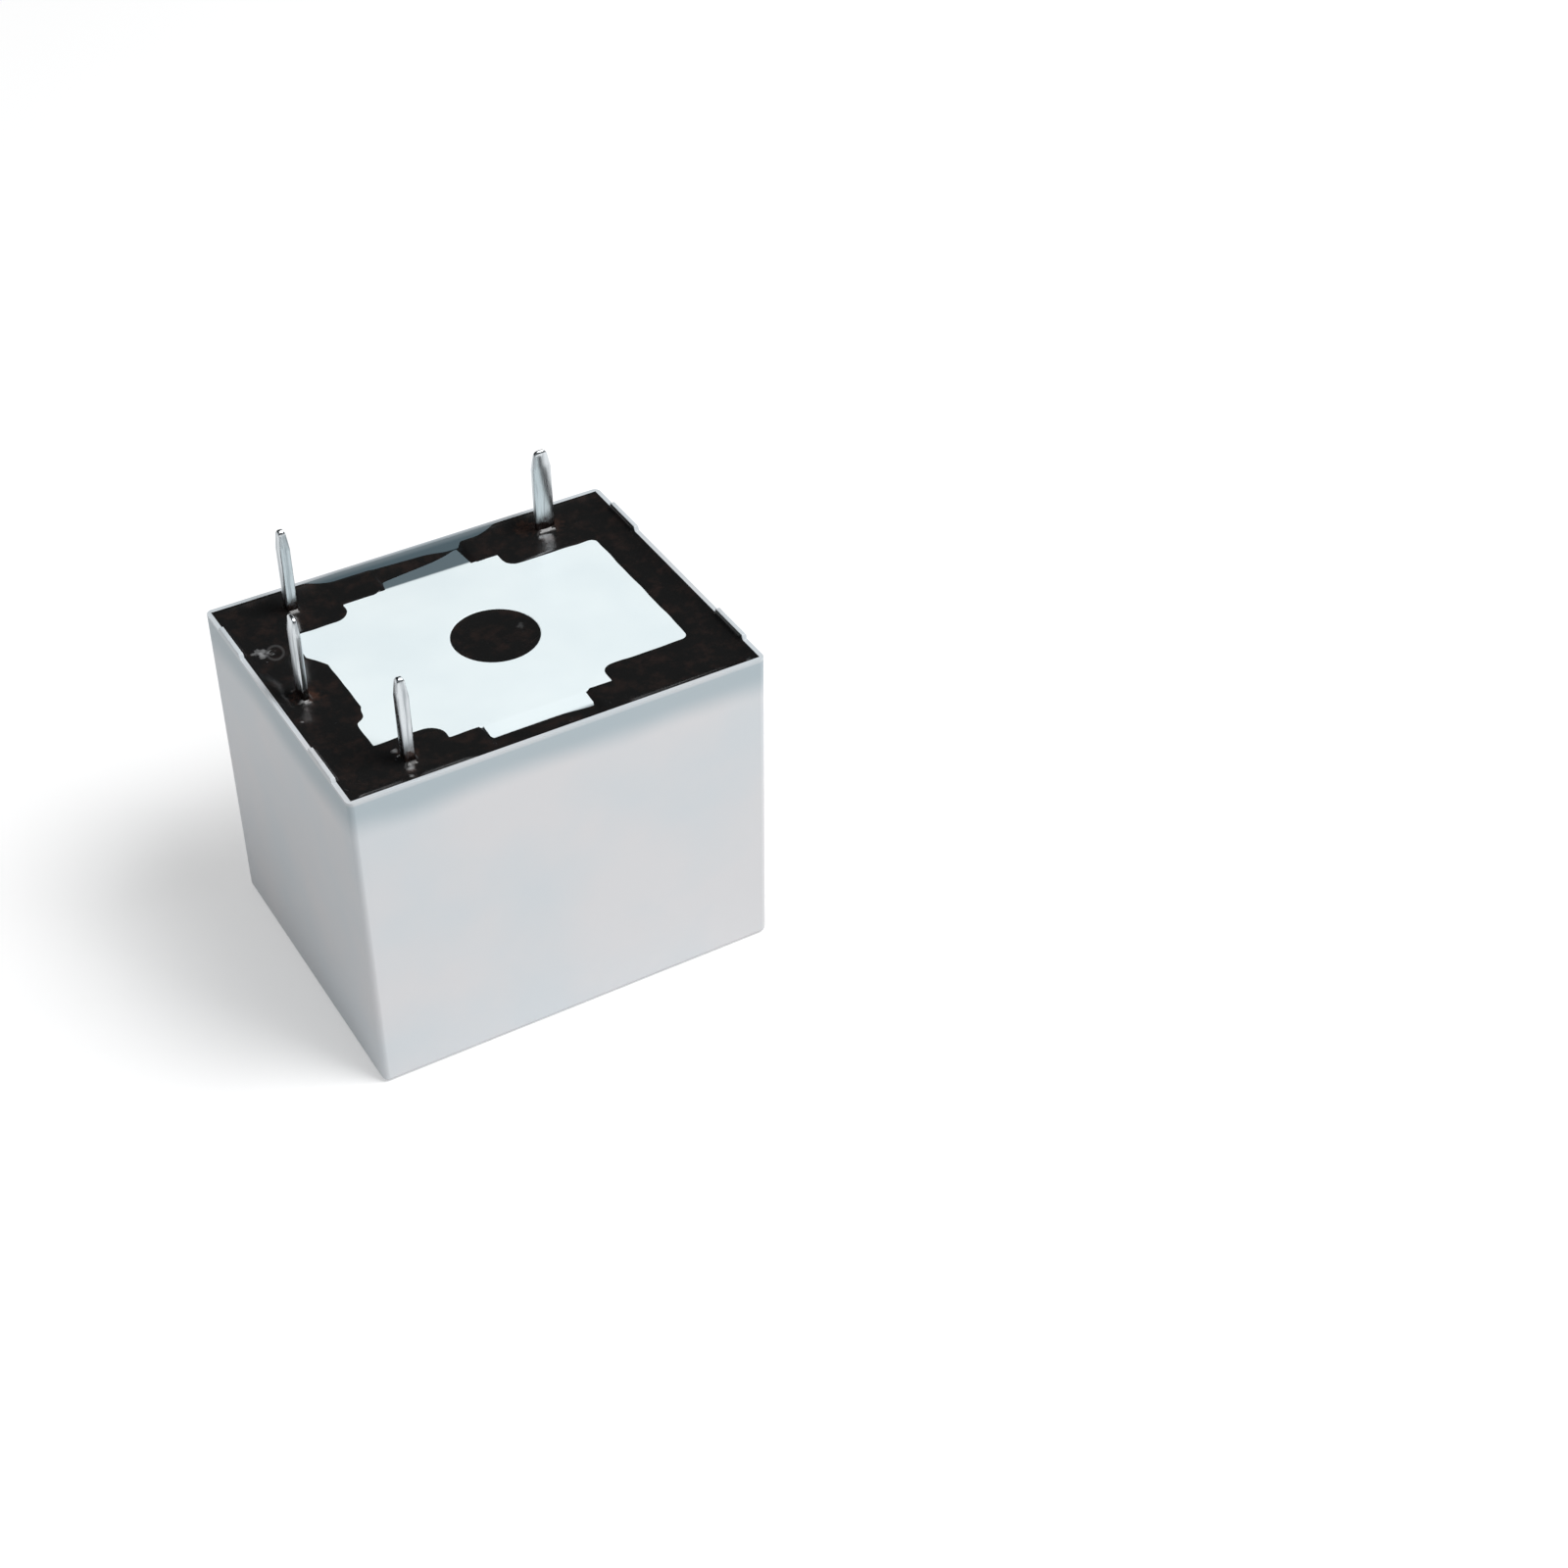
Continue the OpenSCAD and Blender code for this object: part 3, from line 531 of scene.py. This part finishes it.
metalLooks = {
    # Soft iron strip under nickel plate: pale grey, with a soft sheen along its rolling lines
    "nickelPlatedIron": {"tones": ((0.35, "#b6b4ae"), (0.65, "#c3c1bb")), "lineMm": 0.15, "lineLongMm": 2.5,
                         "rough": (0.24, 0.36)},
    # Hard-rolled phosphor bronze: warm and bright, with finer and longer lines
    "phosphorBronze": {"tones": ((0.35, "#b67c48"), (0.65, "#cd9157")), "lineMm": 0.12, "lineLongMm": 3.0,
                       "rough": (0.18, 0.32)},
    # Headed silver alloy rivets: the brightest metal here, mottled and without lines
    "silverAlloy": {"tones": ((0.35, "#c9c6bf"), (0.65, "#e6e4df")), "lineMm": 0.3, "lineLongMm": 0.3,
                    "rough": (0.16, 0.32)}}


def workedMetal(name):  # real rolling lines are under 0.05 mm wide, drawn coarser so that they show
    look = metalLooks[name]
    smooth, rough = look["rough"]
    material, tree, shader, place = startMaterial(name, {"Metallic": 1.0})
    rolled = addNode(tree, "ShaderNodeMapping",
                     {"Scale": (perMetre(look["lineLongMm"]), perMetre(look["lineMm"]),
                                perMetre(look["lineMm"]))},
                     {"Vector": place})
    lines = addNode(tree, "ShaderNodeTexNoise", {"Scale": 1.0, "Detail": 3.0}, {"Vector": rolled.outputs[0]})
    tone = addNode(tree, "ShaderNodeValToRGB", {"ramp": look["tones"]}, {0: lines.outputs[0]})
    tree.links.new(tone.outputs[0], shader.inputs["Base Color"])
    gloss = addNode(tree, "ShaderNodeMapRange",
                    {"From Min": noiseLow, "From Max": noiseHigh, "To Min": rough, "To Max": smooth},
                    {"Value": lines.outputs[0]})
    tree.links.new(gloss.outputs[0], shader.inputs["Roughness"])
    return material


bobbinPlastic = mouldedBobbinPlastic()
coilCopper = enamelledCopper()
coilTape = polyesterTape()
platedIron = workedMetal("nickelPlatedIron")
springBronze = workedMetal("phosphorBronze")
contactSilver = workedMetal("silverAlloy")
print("inside materials made")


# Cover

coverEdges = {"outer": 0.3, "outerSteps": 6, "proud": 0.002, "rimBevel": 0.09, "rimSteps": 3,
              "rimZone": 0.25, "footBevel": 0.03, "cornerAngle": 60}


def roundedBlock():  # a hair proud of the flat sides, so that it only takes off the edges
    proud = Vector((1, 1, 1)) * coverEdges["proud"] * mm
    bm = boxMesh(coverLow - proud, coverHigh + proud)
    fromBelow = [e for e in bm.edges if any(v.co.z < 0 for v in e.verts)]
    softenEdges(bm, fromBelow, coverEdges["outer"], segments=coverEdges["outerSteps"])
    return looseObject("roundedBlock", bm)


def isAtOuterRim(v):
    beyond = max(abs(v.co.x) - coverHigh.x, abs(v.co.y) - coverHigh.y)
    return abs(v.co.z - rimZ) < near and beyond > -coverEdges["rimZone"] * mm


def isWallTop(e):
    tilts = [f.normal.z for f in e.link_faces]
    return e.is_convex and max(tilts) > levelTilt and min(abs(tilt) for tilt in tilts) < uprightTilt


def makeCover():
    block = roundedBlock()
    bm = joinOrCut(cadCopy("cover"), [block], "INTERSECT")
    bpy.data.meshes.remove(block.data)
    corners = sharpEdges(bm, coverEdges["cornerAngle"])
    outerRim = [e for e in corners if all(isAtOuterRim(v) for v in e.verts) and isWallTop(e)]
    softenEdges(bm, outerRim, coverEdges["rimBevel"], segments=coverEdges["rimSteps"])
    corners = sharpEdges(bm, coverEdges["cornerAngle"])
    footTops = [e for e in corners if all(v.co.z > footZ - near for v in e.verts)]
    softenEdges(bm, footTops, coverEdges["footBevel"])
    return makePiece("cover_shell", bm, coverPlastic, ["cover"], flatFaces=True)


coverShell = makeCover()
print("cover made")


# Base

baseEdges = {"topBevel": 0.05}


def makeBase():
    bm = cadCopy("base")
    onTop = [e for e in sharpEdges(bm) if all(abs(v.co.z - islandZ) < near for v in e.verts)]
    softenEdges(bm, onTop, baseEdges["topBevel"])
    return makePiece("base_moulding", bm, basePlastic, ["base"], sharpAngle=12)


baseMoulding = makeBase()
print("base made")


# Pins: a slightly crowned strip or a square wire with a tapered, domed tip

pinShape = {"edge": 0.07, "edgeSteps": 4, "root": 13.9, "overlap": 0.1, "crown": 0.28,
            "crownCuts": (-0.5, 0, 0.5), "taper": 0.9, "narrowing": 0.38, "domeFrom": 0.72, "domeFall": 0.96,
            "rings": (0, 0.25, 0.5, 0.72, 0.82, 0.9, 0.95, 0.98)}
pinNodes = {"no_terminal": "switched_terminal", "com_terminal": "common_terminal",
            "coil_terminal_front": "coil_pin_front", "coil_terminal_back": "coil_pin_back"}
stripNodes = ("no_terminal", "com_terminal")  # these go on inside as the strip from the frame


def pinSection(nodeName):
    upper = [v.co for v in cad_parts[nodeName].data.vertices if v.co.z > rimZ]
    low = Vector([min(co[i] for co in upper) for i in range(3)])
    high = Vector([max(co[i] for co in upper) for i in range(3)])
    return low, high


def crownStrip(bm, middle, half):
    broad, thin = (0, 1) if half.x > half.y else (1, 0)
    across = Vector((0, 0, 0))
    across[broad] = 1
    for cut in pinShape["crownCuts"]:
        cutAt(bm, middle + across * half[broad] * cut, across)
    for v in bm.verts:
        share = (v.co[broad] - middle[broad]) / half[broad]
        v.co[thin] = middle[thin] + (v.co[thin] - middle[thin]) * (1 - pinShape["crown"] * share * share)


def tipShare(rise):
    straight = 1 - pinShape["narrowing"] * min(rise, pinShape["domeFrom"])
    dome = max(0.0, (rise - pinShape["domeFrom"]) / (1 - pinShape["domeFrom"]))
    return straight * math.sqrt(1 - pinShape["domeFall"] * dome * dome)


def domeTip(bm, middle, top):
    start = top - pinShape["taper"] * mm
    for ring in pinShape["rings"]:
        cutAt(bm, (0, 0, start + ring * (top - start)), (0, 0, 1))
    for v in bm.verts:
        share = tipShare(max(0.0, (v.co.z - start) / (top - start)))
        v.co.x = middle.x + (v.co.x - middle.x) * share
        v.co.y = middle.y + (v.co.y - middle.y) * share


def joinStrip(bm, nodeName, root):
    strip = cadCopy(nodeName)
    cutAt(strip, (0, 0, root + pinShape["overlap"] * mm), (0, 0, 1), dropBeyond=True)
    bmesh.ops.holes_fill(strip, edges=[e for e in strip.edges if e.is_boundary], sides=0)
    stripBlock = looseObject("strip", strip)
    joined = joinOrCut(bm, [stripBlock], "UNION")
    bpy.data.meshes.remove(stripBlock.data)
    return joined


def makePin(nodeName):
    hasStrip = nodeName in stripNodes
    low, high = pinSection(nodeName)
    low.z = pinShape["root"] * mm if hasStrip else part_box(nodeName)[0].z
    middle = (low + high) / 2
    bm = boxMesh(low, high)
    upright = [e for e in bm.edges if abs(e.verts[0].co.z - e.verts[1].co.z) > near]
    softenEdges(bm, upright, pinShape["edge"], segments=pinShape["edgeSteps"])
    if hasStrip:
        crownStrip(bm, middle, (high - low) / 2)
    domeTip(bm, middle, high.z)
    if hasStrip:
        bm = joinStrip(bm, nodeName, low.z)
    return makePiece(pinNodes[nodeName], bm, pinTin, [nodeName], sharpAngle=40)


pins = [makePin(nodeName) for nodeName in pinNodes]
print("pins made")


# Seal round the base: a poured level that climbs the walls, dips beside the ramps and laps the island

# A pair of pairs is where along the long side something comes in and goes out
sealShape = {"cell": 0.09, "underPlate": 0.1, "film": 0.03, "holeClear": 0.3,
             "frontDip": 15.14, "frontRamp": ((-2.9, -2.5), (1.95, 2.35)),
             "backDip": 15.115, "backTilt": -0.0235, "backRamp": ((-2.15, -1.85), (2.08, 2.4)),
             "climb": 0.9, "climbPower": 2.2, "overLip": 0.07, "lipFilm": 0.012,
             "frontBare": ((-4.4, -2.9), (2.3, 3.6)), "backBare": ((-5.2, -3.6), (3.0, 4.3)),
             "meniscus": 0.1, "meniscusReach": 0.35, "meniscusFrom": 0.4, "meniscusEnd": (0.5, 2.1),
             "footMiddle": 4.8, "footHalf": 1.15, "footFade": 0.1, "footReach": (0.11, 0.02),
             "footShort": 0.03, "collar": 0.22, "collarReach": 0.2,
             "swell": 0.012, "swellSize": 2.2, "swellSeed": 3.0,
             "lap": 0.07, "lapSlope": 0.5, "lapWave": 0.05, "lapWaveSize": 0.9, "lapSeed": 8.0, "sunk": 0.15,
             # A blob beside the bubble and drips on the island: a place, a radius, and a height or reach
             "blob": (-8.57, 3.77, 0.14, 0.1),
             "drips": ((-6.72, -2.3, 0.35, 0.26), (-2.75, -5.9, 0.25, 0.12))}


def islandEdges():  # its whole outline, and the part of it that the seal laps
    bm = cadCopy("base")
    flats = {f for f in bm.faces
             if f.normal.z > levelTilt and abs(f.calc_center_median().z - islandZ) < near}
    outline, lapped = [], []
    for e in bm.edges:
        a, b = [v.co.copy() for v in e.verts]
        inHole = ((a + b) / 2 - holeAxis).xy.length < holeHigh.x - holeAxis.x + near
        if inHole or sum(f in flats for f in e.link_faces) != 1:
            continue
        outline.append((a.xy, b.xy))
        if all(f in flats or f.normal.z < levelTilt for f in e.link_faces):
            lapped.append((a.xy, b.xy))
    bm.free()
    return np.array(outline) / mm, np.array(lapped) / mm


outlineEdges, lappedEdges = islandEdges()


def isOnIsland(points):
    inside = np.zeros(len(points), bool)
    x, y = points.T
    for a, b in outlineEdges:
        spans = (a[1] > y) != (b[1] > y)
        if a[1] != b[1]:
            inside ^= spans & (x < (b[0] - a[0]) * (y - a[1]) / (b[1] - a[1]) + a[0])
    return inside


def islandDistance(points):
    best = np.full(len(points), np.inf)
    for a, b in lappedEdges:
        run = b - a
        t = np.clip((points - a) @ run / (run @ run), 0, 1)
        best = np.minimum(best, np.linalg.norm(points - a - t[:, None] * run, axis=1))
    return best


def softNoise(points, size, seed):
    return np.array([noise.noise(Vector((x / size, y / size, seed))) for x, y in points])


def sealHeight(points):
    s = sealShape
    x, y = points.T
    island, rim = islandZ / mm, rimZ / mm
    mouthX, mouthY = mouth.x / mm, mouth.y / mm
    # Level between the walls, lower beside the two ramps
    flush = island + s["film"]
    frontShare = between(x, *s["frontRamp"]) * (y < 0)
    backShare = between(x, *s["backRamp"]) * (y > 0)
    level = flush + (s["frontDip"] - flush) * frontShare
    level = level + (s["backDip"] + s["backTilt"] * x - flush) * backShare
    # Climb to the rim, held back along the middle of the long walls
    sideClimb = 1 - np.where(y > 0, between(x, *s["backBare"]), between(x, *s["frontBare"]))
    toEnd = np.clip(1 - (mouthX - np.abs(x)) / s["climb"], 0, 1) ** s["climbPower"]
    toSide = np.clip(1 - (mouthY - np.abs(y)) / s["climb"], 0, 1) ** s["climbPower"] * sideClimb
    climb = np.minimum(1, 1 - (1 - toEnd) * (1 - toSide))
    level = level + (rim + s["lipFilm"] - level) * climb
    # Drawn up a little on the long walls beside the ramps
    offWall = np.clip(mouthY - s["meniscusFrom"] - np.abs(y), 0, None)
    wet = np.exp(-offWall / s["meniscusReach"]) * (1 - smoothStep(*s["meniscusEnd"], x))
    level = level + s["meniscus"] * wet * (backShare + frontShare)
    # Drawn up on the inner sides of the feet
    beside = smoothStep(s["footHalf"], s["footHalf"] - s["footFade"], np.abs(np.abs(y) - s["footMiddle"]))
    farReach, nearReach = s["footReach"]
    onFoot = beside * smoothStep(mouthX - farReach, mouthX - nearReach, np.abs(x))
    level = level + (footZ / mm - s["footShort"] - level) * onFoot
    # Collars drawn up round the pins
    for node in pinNodes:
        low, high = pinSection(node)
        gapX = np.maximum(np.maximum(low.x / mm - x, x - high.x / mm), 0)
        gapY = np.maximum(np.maximum(low.y / mm - y, y - high.y / mm), 0)
        level = level + s["collar"] * np.exp(-np.hypot(gapX, gapY) / s["collarReach"])
    # The burst bubble, the blob drawn up beside it, and slow swells away from the walls
    offBubble = np.hypot(x - bubble["x"], y - bubble["y"]) / bubble["radius"]
    level = level - bubble["depth"] * np.clip(1 - offBubble, 0, 1) ** bubble["steepness"]
    blobX, blobY, blobR, blobHeight = s["blob"]
    level = level + blobHeight * np.exp(-np.hypot(x - blobX, y - blobY) / blobR)
    level = level + s["swell"] * softNoise(points, s["swellSize"], s["swellSeed"]) * (1 - climb)
    # Thin wavy lap over the island's edge
    wave = s["lapWave"] * softNoise(points, s["lapWaveSize"], s["lapSeed"])
    for dripX, dripY, dripR, dripReach in s["drips"]:
        wave = wave + dripReach * np.exp(-((x - dripX) ** 2 + (y - dripY) ** 2) / dripR ** 2)
    rise = s["lapSlope"] * (s["lap"] + wave - islandDistance(points))
    lap = island + np.clip(rise, -s["sunk"], s["film"])
    return np.where(isOnIsland(points), np.minimum(level, lap), level)


def makeSeal():
    halfX = mouth.x + sealShape["overLip"] * mm
    halfY = mouth.y + sealShape["overLip"] * mm
    cell = sealShape["cell"] * mm
    bottom = Matrix.Translation((0, 0, plateZ - sealShape["underPlate"] * mm))
    bm = bmesh.new()
    bmesh.ops.create_grid(bm, x_segments=round(2 * halfX / cell), y_segments=round(2 * halfY / cell), size=1,
                          matrix=bottom @ Matrix.Diagonal((halfX, halfY, 1, 1)))
    reach = holeHigh.x - holeAxis.x + sealShape["holeClear"] * mm
    overHole = [v for v in bm.verts if max(abs(v.co.x - holeAxis.x), abs(v.co.y)) < reach]
    bmesh.ops.delete(bm, geom=overHole, context="VERTS")
    poured = bmesh.ops.extrude_face_region(bm, geom=bm.faces[:])["geom"]
    surface = [g for g in poured if isinstance(g, bmesh.types.BMVert)]
    for v, z in zip(surface, sealHeight(np.array([v.co.xy for v in surface]) / mm)):
        v.co.z = z * mm
    bmesh.ops.recalc_face_normals(bm, faces=bm.faces)
    bm = joinOrCut(bm, pins + [coverShell, baseMoulding], "DIFFERENCE")
    return makePiece("potting_seal", bm, blackEpoxy, ["epoxy_seal"], sharpAngle=50)


makeSeal()
print("seal poured")


# Seal in the round hole, dished as it shrank

holeShape = {"edgeDrop": 0.02, "dish": 0.1, "dishPower": 5, "steps": 96, "rings": 10}


def makeHoleSeal():
    radius = holeHigh.x - holeAxis.x
    outline = [(0, holeLow.z), (radius, holeLow.z)]
    for i in range(holeShape["rings"] + 1):
        share = 1 - i / holeShape["rings"]
        dished = 1 - share ** holeShape["dishPower"]
        sink = holeShape["edgeDrop"] + (holeShape["dish"] - holeShape["edgeDrop"]) * dished
        outline.append((radius * share, islandZ - sink * mm))
    bm = turned(outline, holeAxis, holeShape["steps"])
    return makePiece("hole_seal", bm, blackEpoxy, ["core_hole_seal"], sharpAngle=50)


makeHoleSeal()
print("hole sealed")


# Winding with its turns side by side. The real wire is about 0.06 mm, drawn coarser so that it shows

windingShape = {"turn": 0.2, "ridge": 0.04, "crown": (0.3, 0.7), "crownShort": 0.01, "steps": 72}


def makeWinding():
    low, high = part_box("coil_winding")
    axis = Vector(((low.x + high.x) / 2, (low.y + high.y) / 2, 0))
    outer = (high.x - low.x) / 2
    inner = min((v.co - axis).xy.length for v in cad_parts["coil_winding"].data.vertices)
    turns = round((high.z - low.z) / (windingShape["turn"] * mm))
    pitch = (high.z - low.z) / turns
    valley = outer - windingShape["ridge"] * mm
    crown = outer - windingShape["crownShort"] * mm
    outline = [(inner, low.z)]
    for turn in range(turns):
        z = low.z + turn * pitch
        outline.append((valley, z))
        outline += [(crown, z + pitch * share) for share in windingShape["crown"]]
    outline += [(valley, high.z), (inner, high.z)]
    bm = turned(outline, axis, windingShape["steps"], isClosed=True)
    return makePiece("wound_coil", bm, coilCopper, ["coil_winding"], sharpAngle=60)


makeWinding()
print("coil wound")


# Contact spring, with its riveted tail on the yoke


def makeSpring():
    spring = makePiece("leaf_spring", cadCopy("contact_spring"), springBronze,
                       ["contact_spring"], body=None)
    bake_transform(spring)
    return spring


makeSpring()
print("spring made")


# Finishes of the nodes that keep their own shape

finishes = {"bobbin": bobbinPlastic, "coil_tape": coilTape, "coil_lead_front": coilCopper,
            "coil_lead_back": coilCopper, "core": platedIron, "yoke": platedIron, "armature": platedIron,
            "yoke_rivets": platedIron, "armature_rivets": platedIron, "moving_contact": contactSilver,
            "fixed_contact": contactSilver}
for nodeName, finish in finishes.items():
    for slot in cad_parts[nodeName].material_slots:
        slot.material = finish
print("inner nodes finished")


# Camera, where the photograph was taken from

photoCamera = {"place": (-36.105, -85.451, 82.248), "azimuth": -30.84, "elevation": 39.20, "lens": 61.34,
               "sensor": 36, "nearest": 1}


def makeCamera():
    camera = bpy.data.objects.new("camera", bpy.data.cameras.new("camera"))
    bpy.context.scene.collection.objects.link(camera)
    camera.data.lens = photoCamera["lens"]
    camera.data.sensor_width = photoCamera["sensor"]
    camera.data.clip_start = photoCamera["nearest"] * mm
    azimuth = math.radians(photoCamera["azimuth"])
    elevation = math.radians(photoCamera["elevation"])
    back = Vector((math.sin(azimuth) * math.cos(elevation), -math.cos(azimuth) * math.cos(elevation),
                   math.sin(elevation)))
    camera.location = Vector(photoCamera["place"]) * mm
    camera.rotation_mode = "QUATERNION"
    camera.rotation_quaternion = (-back).to_track_quat("-Z", "Y")
    bpy.context.scene.camera = camera


makeCamera()
print("camera placed")


# Studio: pale floor, white surround, one large key and a fill, and a dark tent that only reflections see

studio = {"floorSize": 1.8, "floorColour": "#dfdfdf", "floorGlow": 0.355, "fadeNear": 0.1, "fadeFar": 0.5,
          "ambient": 0.28, "lampAim": (0, 0, 0.01),
          "curtain": {"profile": ((0.75, 0.05), (0.75, 0.6), (0.2, 0.95)), "colour": "#2a2d30", "steps": 48},
          "key": {"place": (0.22, -0.22, 0.47), "size": 0.3, "power": 2.87, "colour": "#ffffff"},
          "fill": {"place": (-0.4, -0.2, 0.3), "size": 0.4, "power": 0.2, "colour": "#dcebf5"}}


def seenDirectly(tree):  # 1 for the camera, reflections and glass
    path = addNode(tree, "ShaderNodeLightPath")
    some = addNode(tree, "ShaderNodeMath", {"operation": "MAXIMUM"},
                   {0: path.outputs["Is Camera Ray"], 1: path.outputs["Is Glossy Ray"]})
    return addNode(tree, "ShaderNodeMath", {"operation": "MAXIMUM"},
                   {0: some.outputs[0], 1: path.outputs["Is Transmission Ray"]}).outputs[0]


def addStage(name, bm, material):
    staged = looseObject(name, bm)
    staged.data.materials.append(material)
    return staged


def makeFloor():
    bm = bmesh.new()
    bmesh.ops.create_grid(bm, x_segments=1, y_segments=1, size=studio["floorSize"] / 2)
    material, tree, shader, place = startMaterial(
        "paleFloor", {"Base Color": linear(studio["floorColour"]), "Roughness": 0.9,
                      "Specular IOR Level": 0.0, "Emission Color": (1, 1, 1, 1)})
    away = addNode(tree, "ShaderNodeVectorMath", {"operation": "LENGTH"}, {0: place})
    # The floor keeps the shadow near the part and fades into the white surround
    fade = addNode(tree, "ShaderNodeMapRange",
                   {"interpolation_type": "SMOOTHSTEP", "From Min": studio["fadeNear"],
                    "From Max": studio["fadeFar"], "To Min": studio["floorGlow"], "To Max": 1.0},
                   {"Value": away.outputs["Value"]})
    glow = addNode(tree, "ShaderNodeMath", {"operation": "MULTIPLY"},
                   {0: fade.outputs[0], 1: seenDirectly(tree)})
    tree.links.new(glow.outputs[0], shader.inputs["Emission Strength"])
    addStage("floor", bm, material)


def makeCurtain():
    curtain = studio["curtain"]
    bm = turned(curtain["profile"], Vector((0, 0, 0)), curtain["steps"])
    material = startMaterial("darkCurtain", {"Base Color": linear(curtain["colour"]), "Roughness": 1.0,
                                             "Specular IOR Level": 0.0})[0]
    drawn = addStage("curtain", bm, material)
    for seen in ("visible_camera", "visible_diffuse", "visible_transmission", "visible_volume_scatter",
                 "visible_shadow"):
        setattr(drawn, seen, False)


def makeLight():
    world = bpy.data.worlds.new("studioWorld")
    bpy.context.scene.world = world
    world.use_nodes = True
    tree = world.node_tree
    tree.nodes.clear()
    strength = addNode(tree, "ShaderNodeMapRange", {"To Min": studio["ambient"], "To Max": 1.0},
                       {"Value": seenDirectly(tree)})
    sky = addNode(tree, "ShaderNodeBackground", {"Color": (1, 1, 1, 1)}, {"Strength": strength.outputs[0]})
    addNode(tree, "ShaderNodeOutputWorld", links={"Surface": sky.outputs[0]})
    for name in ("key", "fill"):
        lamp = bpy.data.lights.new(name, "AREA")
        lamp.size = studio[name]["size"]
        lamp.energy = studio[name]["power"]
        lamp.color = linear(studio[name]["colour"])[:3]
        light = bpy.data.objects.new(name, lamp)
        light.location = studio[name]["place"]
        light.rotation_mode = "QUATERNION"
        light.rotation_quaternion = (Vector(studio["lampAim"]) - light.location).to_track_quat("-Z", "Y")
        bpy.context.scene.collection.objects.link(light)
    bpy.context.scene.view_settings.view_transform = "Standard"


makeFloor()
makeCurtain()
makeLight()
print("studio lit")
